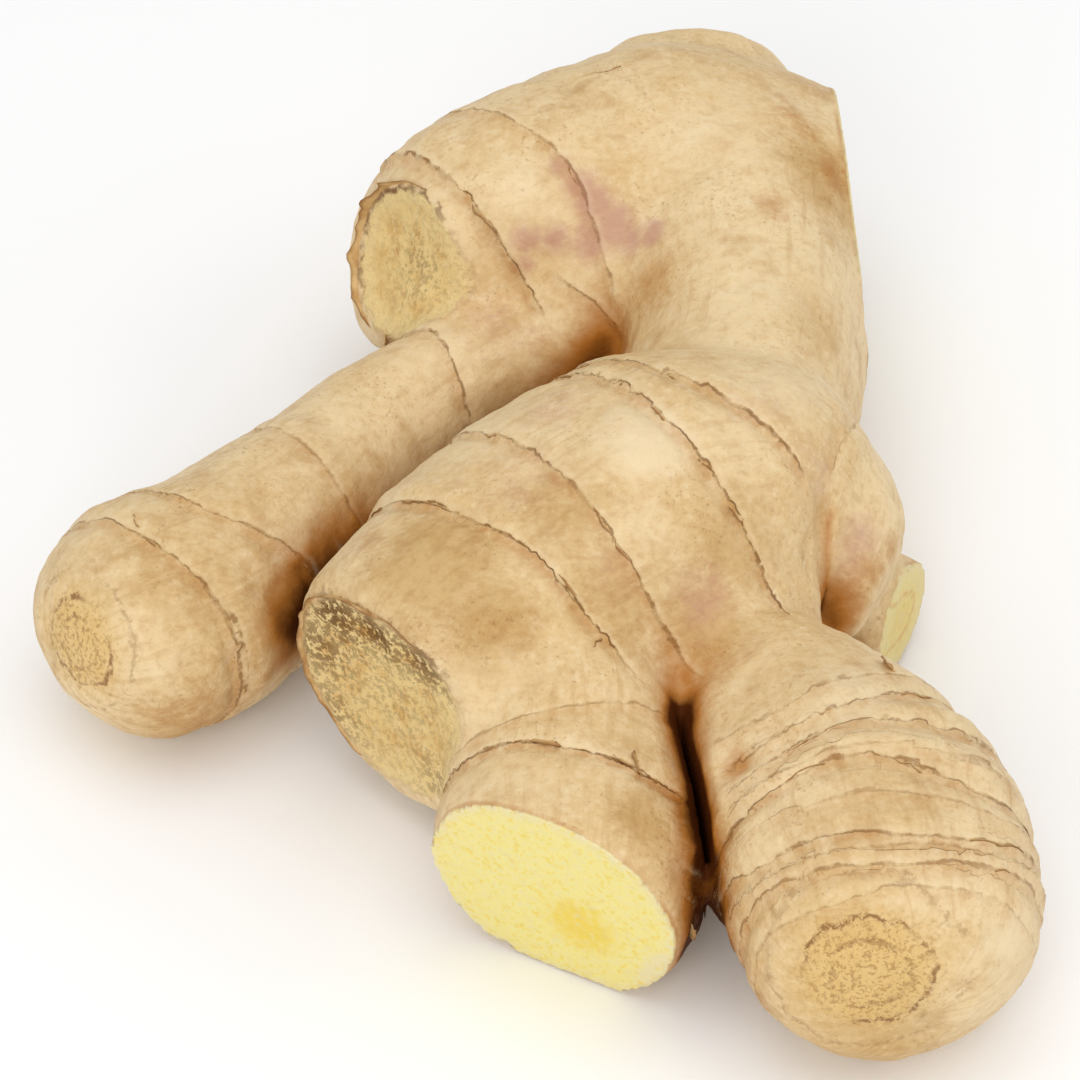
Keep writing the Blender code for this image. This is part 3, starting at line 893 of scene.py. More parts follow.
@dataclass(frozen=True)
class SkinFinish:
    """The root's skin, its scars and the flesh of its cuts. Colours are 0 to 255 parts."""

    cream: tuple = (230, 204, 158)
    tan: tuple = (219, 188, 136)
    deep: tuple = (194, 154, 98)
    # Multiplied in as painted shade on the shaded patches.
    shade: tuple = (226, 212, 186)
    # Pale flecks of the skin, and also painted light on the limb tops and a painted highlight before each ring.
    pale: tuple = (236, 214, 174)
    speck: tuple = (158, 112, 60)
    # Rusty brown for the rusty patches and burnt cut edges, and also painted shade in creases, under the limbs and past
    # each ring.
    rust_and_shade: tuple = (176, 110, 34)
    # Painted shadow: the near-black laid into the deepest crevices.
    crevice: tuple = (70, 30, 8)
    pink: tuple = (192, 144, 124)
    line: tuple = (134, 88, 42)
    gold: tuple = (218, 180, 106)
    scar: tuple = (250, 220, 152)
    worn: tuple = (210, 146, 64)
    strand: tuple = (248, 222, 164)
    fibre: tuple = (104, 60, 16)
    flesh: tuple = (236, 222, 142)
    core: tuple = (234, 204, 74)
    flesh_rim: tuple = (230, 216, 168)
    dry_flesh: tuple = (218, 196, 144)
    roughness: float = 0.52
    specular: float = 0.3
    glow: float = 0.07
    glow_depth: float = 0.0015

    def base(self, bench: Bench, place: Any) -> bpy.types.NodeSocket:
        """The plain skin: cream and tan clouds, pale and brown flecks, and fine lines along each limb.

        Args:
            bench: the material's nodes.
            place: the place in millimetres.

        Returns:
            The colour.
        """
        along = bench.stretch(bench.vector("grain"), (0.12, 1.0, 1.0))
        colour = bench.mix(bench.step(bench.grain(place, 17.0, 3.0), 0.36, 0.66), self.cream, self.tan)
        colour = bench.mix(bench.step(bench.grain(place, 5.2, 5.0, 0.62), 0.48, 0.74, 0.6), colour, self.deep)
        colour = bench.mix(bench.step(bench.grain(place, 3.4, 5.0, 0.6), 0.53, 0.74, 0.5), colour, self.pale)
        fine = bench.grain(place, 1.1, 4.0, 0.7)
        colour = bench.mix(bench.step(fine, 0.5, 0.68, 0.34), colour, self.deep)
        colour = bench.mix(bench.times(bench.rest_of(bench.step(fine, 0.32, 0.5)), 0.45), colour, self.pale)
        lines = bench.times(bench.step(bench.grain(along, 1.2, 3.0, 0.6), 0.5, 0.72, 0.4), bench.value("grain_on"))
        colour = bench.mix(lines, colour, self.deep)
        dust = bench.times(
            bench.step(bench.grain(place, 0.5, 2.0, 0.6), 0.58, 0.72, 0.48),
            bench.step(bench.grain(place, 8.0, 3.0, 0.6), 0.42, 0.64),
        )
        return bench.mix(dust, colour, self.speck)

    def stains(self, bench: Bench, place: Any, colour: Any) -> bpy.types.NodeSocket:
        """The pink and rusty patches, painted light on the limb tops, and painted shade on shaded patches, under the
        limbs and in creases and crevices.

        Args:
            bench: the material's nodes.
            place: the place in millimetres.
            colour: the colour so far.

        Returns:
            The colour with its stains.
        """
        cloud = bench.math("SUBTRACT", bench.grain(place, 3.2, 5.0, 0.65), 0.5)
        streak = bench.math("SUBTRACT", bench.grain(bench.stretch(place, (0.6, 1.5, 1.0)), 0.9, 4.0, 0.7), 0.5)
        uneven = bench.plus(bench.times(cloud, 1.4), bench.times(streak, 1.0))
        # The tan patches are painted shade, partly darker skin tone; the pale ones painted light on the limb tops; the
        # rusty ones partly painted shade; the pink ones the skin's own colour.
        for name, tint, low, high, top, blend in (
            ("tan", self.shade, 0.1, 0.9, 1.0, "MULTIPLY"),
            ("pale", self.pale, 0.15, 0.85, 0.75, "MIX"),
            ("rust_and_shade", self.rust_and_shade, 0.2, 0.95, 0.7, "MIX"),
            ("pink", self.pink, 0.2, 1.0, 0.8, "MIX"),
        ):
            share = bench.step(bench.plus(bench.value(name), bench.times(uneven, 0.6)), low, high, top)
            colour = bench.mix(share, colour, tint, blend)
        # Painted shade: rusty brown in the creases and near black in the deep crevices, from the stored occlusion of
        # the creases.
        painted_crease_shade = bench.plus(bench.value("painted_crease_shade"), bench.times(uneven, 0.08))
        colour = bench.mix(bench.step(painted_crease_shade, 0.05, 0.36, 0.94), colour, self.rust_and_shade)
        return bench.mix(bench.step(painted_crease_shade, 0.28, 0.52, 0.97), colour, self.crevice)

    def rings(self, bench: Bench, place: Any, colour: Any) -> tuple:
        """The growth rings as broken dark lines, with a painted highlight on the raised edge before each ring and
        painted shade in the groove past it.

        Args:
            bench: the material's nodes.
            place: the place in millimetres.
            colour: the colour so far.

        Returns:
            The colour with its rings, and how much of the dark line is at the place.
        """
        jag = bench.plus(
            bench.times(bench.math("SUBTRACT", bench.grain(place, 2.6, 2.0), 0.5), 1.2),
            bench.times(bench.math("SUBTRACT", bench.grain(place, 0.7, 2.0), 0.5), 0.4),
        )
        broken = bench.plus(bench.step(bench.grain(place, 2.6, 4.0, 0.65), 0.42, 0.58, 0.6), 0.35)
        narrow = bench.plus(1.0, bench.step(bench.grain(place, 6.0, 2.0), 0.4, 0.6, 1.6))
        dark = 0.0
        for number in range(RING_SETS):
            off = bench.plus(bench.value(f"ring_{number}"), jag)
            on = bench.value(f"ring_{number}_on")
            away = bench.times(bench.math("ABSOLUTE", off), narrow)
            line = bench.times(bench.rest_of(bench.step(away, 0.06, 0.34)), on, broken)
            # Painted shade in the groove past the ring, and a painted highlight on the raised edge before it.
            foot_shade = bench.times(bench.step(off, -0.1, 0.3), bench.rest_of(bench.step(off, 0.3, 2.1)), on)
            lip_highlight = bench.times(bench.step(off, -1.1, -0.4), bench.rest_of(bench.step(off, -0.4, -0.1)), on)
            colour = bench.mix(bench.times(foot_shade, broken, 0.48), colour, self.rust_and_shade)
            colour = bench.mix(bench.times(lip_highlight, 0.3), colour, self.pale)
            colour = bench.mix(line, colour, self.line)
            dark = bench.math("MAXIMUM", dark, line)
        return colour, dark

    def scars(self, bench: Bench, place: Any, colour: Any) -> tuple:
        """The torn, dry and root scars.

        Args:
            bench: the material's nodes.
            place: the place in millimetres.
            colour: the colour so far.

        Returns:
            The colour with its scars, and the height of their fibres.
        """
        waver = bench.times(bench.math("SUBTRACT", bench.grain(place, 2.2, 4.0, 0.6), 0.5), 0.3)
        fleck = bench.grain(place, 0.8, 5.0, 0.75)
        torn = bench.plus(bench.value("torn"), waver)
        inside = bench.step(torn, 0.0, 0.1)
        colour = bench.mix(bench.times(inside, 0.85), colour, self.scar)
        halo = bench.times(inside, bench.rest_of(bench.step(torn, 0.14, 0.3)), 0.5)
        colour = bench.mix(halo, colour, self.strand)
        flecked = bench.value("flecked")
        worn = bench.times(bench.step(bench.grain(place, 3.0, 4.0, 0.65), 0.42, 0.66, 0.8), bench.step(torn, 0.12, 0.4))
        worn = bench.times(worn, bench.plus(0.45, bench.times(flecked, 0.55)))
        colour = bench.mix(worn, colour, self.worn)
        strands = bench.grain(bench.stretch(place, (1.0, 1.0, 0.35)), 0.6, 3.0, 0.65)
        colour = bench.mix(bench.times(bench.step(strands, 0.52, 0.66, 0.6), inside), colour, self.strand)
        dense = bench.plus(fleck, bench.times(flecked, 0.1))
        fibres = bench.times(bench.step(dense, 0.52, 0.58), inside, bench.plus(0.1, bench.times(flecked, 0.9)))
        colour = bench.mix(bench.times(fibres, 0.9), colour, self.fibre)
        rim = bench.times(bench.step(torn, -0.05, -0.01), bench.rest_of(bench.step(torn, 0.03, 0.1)))
        crack = bench.plus(0.15, bench.times(bench.value("crack"), 0.85))
        rim = bench.times(rim, crack, bench.step(bench.grain(place, 2.0, 3.0), 0.38, 0.52, 0.9))
        colour = bench.mix(rim, colour, self.fibre)
        dry = bench.plus(bench.value("dry"), waver)
        colour = bench.mix(bench.step(dry, 0.0, 0.6, 0.7), colour, self.gold)
        dash = bench.step(bench.grain(place, 0.5, 4.0, 0.75), 0.5, 0.58)
        colour = bench.mix(bench.times(dash, bench.step(dry, 0.05, 0.6, 0.6)), colour, self.speck)
        parted = bench.times(bench.step(bench.grain(place, 6.0, 2.0), 0.38, 0.54), bench.step(fleck, 0.42, 0.52))
        for radius, mark in ((0.03, 0.35), (0.38, 0.85), (0.62, 0.5)):
            arc = bench.math("ABSOLUTE", bench.math("SUBTRACT", dry, radius))
            line = bench.times(bench.rest_of(bench.step(arc, 0.012, 0.045)), parted, mark)
            colour = bench.mix(line, colour, self.line)
        root = bench.plus(bench.value("root"), bench.times(waver, 1.6))
        colour = bench.mix(bench.step(root, 0.2, 0.7, 0.5), colour, self.worn)
        edge = bench.times(bench.step(root, 0.0, 0.2), bench.rest_of(bench.step(root, 0.2, 0.5)))
        edge = bench.times(edge, bench.step(bench.grain(place, 1.5, 4.0, 0.7), 0.4, 0.62, 0.7))
        return bench.mix(edge, colour, self.line), bench.times(fleck, inside)

    def flesh_colour(self, bench: Bench, place: Any) -> bpy.types.NodeSocket:
        """The cut flesh: pale yellow, deeper at its core and paler under the skin, with fine grain and dots.

        Args:
            bench: the material's nodes.
            place: the place in millimetres.

        Returns:
            The colour.
        """
        grain = bench.math("SUBTRACT", bench.grain(place, 1.3, 5.0, 0.7), 0.5)
        core = bench.plus(bench.value("core"), bench.times(grain, 0.9))
        colour = bench.mix(bench.step(core, 0.25, 1.0, 0.9), self.flesh, self.core)
        depth = bench.plus(bench.value("cut_rim"), bench.times(grain, 1.5))
        colour = bench.mix(bench.rest_of(bench.step(depth, 0.2, 1.8)), colour, self.flesh_rim)
        dots = bench.rest_of(bench.step(bench.cells(place, 1.5), 0.1, 0.26))
        colour = bench.mix(bench.times(dots, 0.2), colour, self.core)
        colour = bench.mix(bench.step(grain, 0.02, 0.2, 0.3), colour, self.dry_flesh)
        fine = bench.grain(place, 0.8, 4.0, 0.7)
        colour = bench.mix(bench.step(fine, 0.5, 0.68, 0.5), colour, self.flesh_rim)
        colour = bench.mix(bench.times(bench.rest_of(bench.step(fine, 0.32, 0.5)), 0.7), colour, self.core)
        age = bench.plus(bench.value("dryness"), bench.times(grain, 0.6))
        colour = bench.mix(bench.step(age, 0.2, 1.3, 0.9), colour, self.dry_flesh)
        inner = bench.math("ABSOLUTE", bench.math("SUBTRACT", bench.plus(bench.value("cut_rim"), grain), 3.4))
        ring = bench.times(bench.rest_of(bench.step(inner, 0.1, 0.5)), bench.step(age, 0.5, 0.9, 0.5))
        colour = bench.mix(ring, colour, self.worn)
        ends = bench.rest_of(bench.step(bench.cells(place, 1.8), 0.06, 0.16))
        return bench.mix(bench.times(ends, bench.step(age, 0.5, 0.9, 0.6)), colour, self.speck)

    def material(self) -> bpy.types.Material:
        """The whole finish as one material."""
        bench = Bench("ginger_skin")
        place = bench.place()
        colour = self.stains(bench, place, self.base(bench, place))
        colour, scar_relief = self.scars(bench, place, colour)
        colour, dark = self.rings(bench, place, colour)
        cut = bench.value("cut")
        edge_noise = bench.times(bench.math("SUBTRACT", bench.grain(place, 1.0, 3.0), 0.5), 0.25)
        past = bench.plus(cut, edge_noise)
        burnt = bench.times(bench.step(past, -0.9, -0.4), bench.step(bench.grain(place, 7.0, 2.0), 0.44, 0.62, 0.5))
        colour = bench.mix(burnt, colour, self.rust_and_shade)
        is_flesh = bench.step(past, -0.34, -0.12)
        colour = bench.mix(is_flesh, colour, self.flesh_colour(bench, place))
        along = bench.stretch(bench.vector("grain"), (0.14, 1.0, 1.0))
        wrinkles = bench.times(bench.grain(along, 1.4, 3.0, 0.6), bench.value("grain_on"), 0.1)
        height = bench.plus(
            bench.times(bench.grain(place, 1.6, 4.0, 0.6), 0.16),
            bench.times(bench.grain(place, 0.35, 2.0, 0.6), 0.035),
            wrinkles,
            bench.times(scar_relief, 0.5),
            bench.times(dark, -0.18),
        )
        soft_grain = bench.times(bench.grain(place, 0.8, 4.0, 0.7), 0.14)
        height = bench.plus(bench.times(height, bench.rest_of(is_flesh)), bench.times(soft_grain, is_flesh))
        roughness = bench.plus(self.roughness, bench.times(bench.math("SUBTRACT", bench.grain(place, 2.0, 3.0), 0.5), 0.3))
        roughness = bench.math("SUBTRACT", roughness, bench.times(is_flesh, 0.08))
        shader = bench.shader
        shader.inputs["Subsurface Weight"].default_value = self.glow
        shader.inputs["Subsurface Scale"].default_value = self.glow_depth
        shader.inputs["Subsurface Radius"].default_value = (1.0, 0.55, 0.22)
        matt = bench.math("MAXIMUM", bench.step(bench.value("painted_crease_shade"), 0.2, 0.45), bench.step(bench.value("torn"), -0.02, 0.1))
        matt = bench.times(bench.math("MAXIMUM", matt, dark), 0.9)
        return bench.finish(colour, roughness, height, bench.times(self.specular, bench.rest_of(matt)))


@dataclass(frozen=True)
class HuskFinish:
    """The dry, papery edges of old scale leaves. Colours are 0 to 255 parts."""

    straw: tuple = (220, 188, 134)
    brown: tuple = (190, 148, 92)
    burnt: tuple = (142, 96, 50)
    roughness: float = 0.7
    specular: float = 0.25

    def material(self) -> bpy.types.Material:
        """The finish as a material: straw to brown clouds, fine fibres and a darker torn edge."""
        bench = Bench("dry_husk")
        place = bench.place()
        cloud = bench.grain(place, 3.0, 4.0, 0.6)
        fibres = bench.grain(bench.stretch(place, (1.0, 1.0, 0.4)), 0.5, 3.0, 0.6)
        colour = bench.mix(bench.step(cloud, 0.35, 0.65), self.straw, self.brown)
        colour = bench.mix(bench.step(fibres, 0.48, 0.7, 0.6), colour, self.brown)
        edge = bench.plus(bench.value("torn_edge"), bench.times(bench.math("SUBTRACT", cloud, 0.5), 0.6))
        colour = bench.mix(bench.step(edge, 0.6, 1.05, 0.85), colour, self.burnt)
        height = bench.times(fibres, 0.08)
        roughness = bench.plus(self.roughness, bench.times(bench.math("SUBTRACT", cloud, 0.5), 0.2))
        return bench.finish(colour, roughness, height, self.specular)


@dataclass(frozen=True)
class FloorFinish:
    """A plain pale floor. The colour is 0 to 255 parts."""

    white: tuple = (254, 254, 254)
    shade: tuple = (252, 252, 252)
    roughness: float = 0.8

    def material(self) -> bpy.types.Material:
        """The finish as a material with a very faint cloud."""
        bench = Bench("pale_floor")
        cloud = bench.grain(bench.place(), 60.0, 2.0)
        colour = bench.mix(cloud, self.white, self.shade)
        return bench.finish(colour, self.roughness, bench.times(cloud, 0.01), 0.2)


@dataclass
class Skin:
    """The whole surface of the root as one closed piece."""

    finish: SkinFinish
    name: str = "ginger_root_skin"
    merge: float = 1e-6
    levels: int = 2
    voxel: float = 0.68 * MM
    soften: int = 3
    shade_rays: int = 12
    shade_reach: float = 14.0
    spines: dict = field(default_factory=dict)
    obj: bpy.types.Object = field(init=False)

    def build(self) -> bpy.types.Object:
        """Make the piece, work its relief, store what its finish reads, and dress it.

        Returns:
            The finished piece.
        """
        self.spines = {limb.name: Spine(limb) for limb in LIMBS}
        self.copy_frame()
        self.add_relief()
        self.mark_cut_edges()
        self.store_marks()
        self.obj.data.materials.clear()
        self.obj.data.materials.append(self.finish.material())
        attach(self.obj, "root")
        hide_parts(NODE)
        return self.obj

    def copy_frame(self) -> None:
        """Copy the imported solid's mesh, close its seams and give it small even faces."""
        data = frame["nodes"][NODE].data.copy()
        data.name = self.name
        self.obj = bpy.data.objects.new(self.name, data)
        bpy.context.scene.collection.objects.link(self.obj)
        pick_only(self.obj)
        bpy.ops.object.mode_set(mode="EDIT")
        bpy.ops.mesh.select_all(action="SELECT")
        bpy.ops.mesh.remove_doubles(threshold=self.merge)
        bpy.ops.object.mode_set(mode="OBJECT")
        apply_modifier(self.obj, "SUBSURF", levels=self.levels, render_levels=self.levels)
        apply_modifier(self.obj, "REMESH", mode="VOXEL", voxel_size=self.voxel)
        apply_modifier(self.obj, "SMOOTH", factor=0.5, iterations=self.soften)
        pick_only(self.obj)
        bpy.ops.object.shade_smooth()

    def points(self) -> np.ndarray:
        """The vertices in millimetres, in the frame of the tables."""
        return rows_of(self.obj.data, "co") / MM - CENTRE_SHIFT

    def ring_fields(self, points: np.ndarray) -> tuple:
        """Measure every point against the growth rings, in sets so that near rings never meet in one.

        The rings of the two thick lobes take turns in the first two sets and those of the fingers in the others.

        Args:
            points: the vertices in millimetres.

        Returns:
            For each set, the signed distance past the nearest ring and how strongly that ring is marked.
        """
        off = np.full((RING_SETS, len(points)), 9.0)
        on = np.zeros((RING_SETS, len(points)))
        for name, spine in self.spines.items():
            rings = sorted((ring for ring in RINGS if ring.limb == name), key=lambda ring: ring.distance)
            if not rings:
                continue
            distance, turn, ratio, _ = spine.measure(points)
            near = np.exp(-(((ratio - 1.0) / 0.25) ** 2))
            first = 0 if name in ("middle_body", "back_lobe") else 2
            for place, ring in enumerate(rings):
                number = first + place % 2
                gap = distance - ring_plane(ring, turn)
                closer = (np.abs(gap) < np.abs(off[number])) & (near > 0.25)
                off[number] = np.where(closer, gap, off[number])
                strength = ring.mark * smooth_step(near, 0.25, 0.7) * (1.0 - smooth_step(np.abs(gap), 1.9, 2.6))
                on[number] = np.where(closer, strength, on[number])
        open_skin = 1.0 - smooth_step(self.fold_field(points, 2.2)[0], 0.0, 0.6)
        return off, on * open_skin

    @staticmethod
    def fold_field(points: np.ndarray, widen: float) -> tuple:
        """How near the middle of a fold each point is, seen from above, and how low that fold goes there.

        Args:
            points: the vertices in millimetres.
            widen: how many times the fold's own width to reach.

        Returns:
            1 in a fold's middle and 0 outside it, and the height of the fold's bottom.
        """
        share = np.zeros(len(points))
        bottom = np.zeros(len(points))
        for fold in FOLDS:
            off, low = Skin.off_fold(points, fold)
            here = np.clip(1.0 - (np.linalg.norm(off, axis=1) / (fold.half_width * widen)) ** 2, 0.0, 1.0)
            bottom = np.where(here > share, low, bottom)
            share = np.maximum(share, here)
        return share, bottom

    @staticmethod
    def off_fold(points: np.ndarray, fold: Fold) -> tuple:
        """How far each point is off a fold's path, seen from above, and how low the fold goes there.

        Args:
            points: the vertices in millimetres.
            fold: the fold.

        Returns:
            Rows of x and y from the nearest place on the path, and the height of the fold's bottom.
        """
        path = np.array(fold.path)
        span = np.full(len(points), np.inf)
        off = np.zeros((len(points), 2))
        bottom = np.zeros(len(points))
        for first, second in zip(path, path[1:]):
            run = second[:2] - first[:2]
            along = np.clip((points[:, :2] - first[:2]) @ run / (run @ run), 0.0, 1.0)
            gap = points[:, :2] - first[:2] - along[:, None] * run
            closer = np.linalg.norm(gap, axis=1) < span
            span = np.where(closer, np.linalg.norm(gap, axis=1), span)
            off = np.where(closer[:, None], gap, off)
            bottom = np.where(closer, first[2] + along * (second[2] - first[2]), bottom)
        return off, bottom

    def scar_field(self, points: np.ndarray, normals: np.ndarray, kinds: tuple) -> np.ndarray:
        """How far inside the nearest scar of some kinds each point is.

        Args:
            points: the vertices in millimetres.
            normals: the way the skin faces there.
            kinds: the kinds of scar that count.

        Returns:
            1 at a scar's middle, 0 on its rim and below 0 outside.
        """
        best = np.full(len(points), -1.0)
        for scar in SCARS:
            if scar.kind not in kinds:
                continue
            facing = unit(scar.facing)
            gap = points - scar.centre
            depth = gap @ facing
            radius = np.linalg.norm(gap - depth[:, None] * facing, axis=1) / scar.radius
            seen = (normals @ facing > 0.05) & (np.abs(depth) < 0.9 * scar.radius)
            best = np.maximum(best, np.where(seen, 1.0 - radius, -1.0))
        return np.clip(best, -1.0, 1.0)

    def cut_field(self, points: np.ndarray) -> tuple:
        """The signed distance to the nearest knife cut, the cut's dryness and its core.

        Args:
            points: the vertices in millimetres.

        Returns:
            The distance, zero on a cut and below zero under the skin, the dryness, and the share of core colour.
        """
        past = np.full(len(points), -9.0)
        dryness = np.zeros(len(points))
        core = np.zeros(len(points))
        for cut in CUTS:
            facing = unit(cut.facing)
            gap = points - cut.point
            depth = gap @ facing
            reach = np.linalg.norm(gap - depth[:, None] * facing, axis=1)
            near = (reach < cut.reach) & (depth > -4.0)
            past = np.where(near, np.maximum(past, depth), past)
            dryness = np.where(near, cut.dryness, dryness)
            core += np.exp(-((np.linalg.norm(points - cut.core, axis=1) / 5.0) ** 2))
        return np.minimum(past, 0.0), dryness, core

    def add_relief(self) -> None:
        """Work the fine relief into the skin and lay the cuts and the resting spots flat."""
        data = self.obj.data
        points, normals = self.points(), rows_of(data, "normal")
        for cut in CUTS:
            facing = unit(cut.facing)
            gap = points - cut.point
            depth = gap @ facing
            reach = np.linalg.norm(gap - depth[:, None] * facing, axis=1)
            flat = (reach < cut.reach) & (np.abs(depth) < 0.5) & (normals @ facing > 0.6)
            points[flat] -= depth[flat, None] * facing
        past, _, _ = self.cut_field(points)
        off, on = self.ring_fields(points)
        torn = self.scar_field(points, normals, (ScarKind.TORN,))
        heights = 0.16 * noise_at(points / 3.1) + 0.09 * noise_at(points / 1.4)
        for number in range(RING_SETS):
            gap = off[number] + 0.7 * noise_at(points / 2.2 + 31.0 * number)
            shingle = np.exp(gap / 1.6) * (gap < 0.0) + np.exp(-((gap / 0.45) ** 2)) * (gap >= 0.0)
            groove = np.exp(-(((gap - 0.8) / 0.6) ** 2))
            heights += on[number] * (0.42 * shingle - 0.3 * groove)
        heights += smooth_step(torn, -0.05, 0.15) * (0.3 * noise_at(points / 1.3) + 0.2 * noise_at(points / 2.6))
        heights *= 1.0 - smooth_step(past, -1.2, -0.3)
        points += heights[:, None] * normals
        share, bottom = self.fold_field(points, 1.0)
        points[:, 2] -= share * np.clip(points[:, 2] - bottom, 0.0, 12.0) * (normals[:, 2] > -0.3)
        for fold in FOLDS:
            off_path, _ = self.off_fold(points, fold)
            closing = fold.pinch * np.exp(-((np.linalg.norm(off_path, axis=1) / 3.2) ** 2))
            points[:, :2] -= closing[:, None] * off_path
        placed = (points + CENTRE_SHIFT) * MM
        placed[:, 2] = np.maximum(placed[:, 2], 0.0)
        put_rows(data, placed)

    def mark_cut_edges(self) -> None:
        """Keep the outline of each cut crisp."""
        data = self.obj.data
        past, _, _ = self.cut_field(self.points())
        pick_only(self.obj)
        bpy.ops.object.mode_set(mode="EDIT")
        bpy.ops.mesh.select_mode(type="FACE")
        bpy.ops.mesh.select_all(action="DESELECT")
        bpy.ops.object.mode_set(mode="OBJECT")
        for polygon in data.polygons:
            polygon.select = all(past[index] > -0.02 for index in polygon.vertices)
        bpy.ops.object.mode_set(mode="EDIT")
        bpy.ops.mesh.region_to_loop()
        bpy.ops.mesh.mark_sharp()
        bpy.ops.object.mode_set(mode="OBJECT")

    def crease_shade(self) -> np.ndarray:
        """How closed in each vertex is, from rays over its half sphere.

        Returns:
            0 in the open and towards 1 deep in a crevice, evened out over the skin.
        """
        data = self.obj.data
        points, normals = rows_of(data, "co"), rows_of(data, "normal")
        tree = BVHTree.FromObject(self.obj, bpy.context.evaluated_depsgraph_get())
        steps = np.arange(self.shade_rays) + 0.5
        spread, turn = np.sqrt(steps / self.shade_rays), steps * math.pi * (3.0 - math.sqrt(5.0))
        rise = np.sqrt(1.0 - steps / self.shade_rays)
        helper = np.where(np.abs(normals[:, :1]) < 0.7, (1.0, 0.0, 0.0), (0.0, 1.0, 0.0))
        side = np.cross(normals, helper)
        side /= np.linalg.norm(side, axis=1)[:, None]
        front = np.cross(normals, side)
        shade = np.zeros(len(points))
        starts = (points + normals * 0.15 * MM).tolist()
        reach = self.shade_reach * MM
        for wide, angle, high in zip(spread, turn, rise):
            rays = side * wide * math.cos(angle) + front * wide * math.sin(angle) + normals * high
            for index, (start, ray) in enumerate(zip(starts, rays.tolist())):
                hit = tree.ray_cast(start, ray, reach)
                if hit[3] is not None:
                    shade[index] += 1.0 - hit[3] / reach
        return self.even_out(shade / self.shade_rays, 4)

    def even_out(self, values: np.ndarray, passes: int) -> np.ndarray:
        """Average a value over each vertex and its neighbours.

        Args:
            values: a value for each vertex.
            passes: how many times to average.

        Returns:
            The evened values.
        """
        edges = np.empty(len(self.obj.data.edges) * 2, int)
        self.obj.data.edges.foreach_get("vertices", edges)
        edges = edges.reshape(-1, 2)
        count = np.bincount(edges.ravel(), minlength=len(values))
        for _ in range(passes):
            total = np.bincount(edges[:, 0], values[edges[:, 1]], len(values))
            total += np.bincount(edges[:, 1], values[edges[:, 0]], len(values))
            values = 0.5 * values + 0.5 * total / np.maximum(count, 1)
        return values

    def store_marks(self) -> None:
        """Store on the piece what its finish reads."""
        data = self.obj.data
        points, normals = self.points(), rows_of(data, "normal")
        off, on = self.ring_fields(points)
        for number in range(RING_SETS):
            put_attribute(data, f"ring_{number}", np.clip(off[number], -4.0, 4.0))
            put_attribute(data, f"ring_{number}_on", on[number])
        put_attribute(data, "torn", self.scar_field(points, normals, (ScarKind.TORN,)))
        put_attribute(data, "dry", self.scar_field(points, normals, (ScarKind.DRY,)))
        put_attribute(data, "root", self.scar_field(points, normals, (ScarKind.ROOT,)))
        past, dryness, core = self.cut_field(points)
        put_attribute(data, "cut", past)
        put_attribute(data, "cut_rim", self.depth_in_cut(points, past))
        put_attribute(data, "dryness", dryness)
        put_attribute(data, "core", np.clip(core, 0.0, 1.0))
        # The tan set is painted shade, partly darker skin tone, and the pale set painted light on the limb tops.
        for name, stains in (
            ("pink", PINK_STAINS),
            ("rust_and_shade", RUST_AND_SHADE_STAINS),
            ("pale", PAINTED_LIGHT_STAINS),
            ("tan", SHADE_AND_TONE_STAINS),
            ("flecked", FLECKED_STAINS),
            ("crack", CRACK_STAINS),
        ):
            put_attribute(data, name, self.stain_field(points, stains))
        self.store_grain(points)
        # Stored occlusion of the creases, with extra crevice shade, which the finish paints as shade.
        put_attribute(data, "painted_crease_shade", self.crease_shade() + self.stain_field(points, CREVICE_SHADE_STAINS))

    def store_grain(self, points: np.ndarray) -> None:
        """Store coordinates that run along the nearest limb, and how sure they are.

        Args:
            points: the vertices in millimetres.
        """
        best = np.full(len(points), 9.0)
        second = np.full(len(points), 9.0)
        grain = np.zeros((len(points), 3))
        for spine in self.spines.values():
            distance, turn, ratio, radius = spine.measure(points)
            miss = np.abs(ratio - 1.0)
            second = np.where(miss < best, best, np.minimum(second, miss))
            rows = np.column_stack([distance, turn * radius[:, None]])
            grain = np.where((miss < best)[:, None], rows, grain)
            best = np.minimum(best, miss)
        put_attribute(self.obj.data, "grain", grain)
        put_attribute(self.obj.data, "grain_on", smooth_step(second - best, 0.02, 0.2))

    @staticmethod
    def stain_field(points: np.ndarray, stains: tuple) -> np.ndarray:
        """The strength of a set of stains at each point.

        Args:
            points: the vertices in millimetres.
            stains: the stains.

        Returns:
            The strongest stain at each point, from 0 to 1.
        """
        field_values = np.zeros(len(points))
        for stain in stains:
            reach = np.linalg.norm(points - stain.centre, axis=1) / stain.radius
            field_values = np.maximum(field_values, stain.strength * np.exp(-(reach**2)))
        return field_values

    @staticmethod
    def depth_in_cut(points: np.ndarray, past: np.ndarray) -> np.ndarray:
        """How far inside the outline of its cut each point of a cut is.

        Args:
            points: the vertices in millimetres.
            past: the signed distance to the nearest cut.

        Returns:
            The distance from the outline, and 0 off the cuts.
        """
        skin = points[(past < -0.02) & (past > -3.0)]
        tree = KDTree(len(skin))
        for index, point in enumerate(skin.tolist()):
            tree.insert(point, index)
        tree.balance()
        depth = np.zeros(len(points))
        for index in np.flatnonzero(past >= -0.02):
            depth[index] = tree.find(points[index].tolist())[2]
        return depth


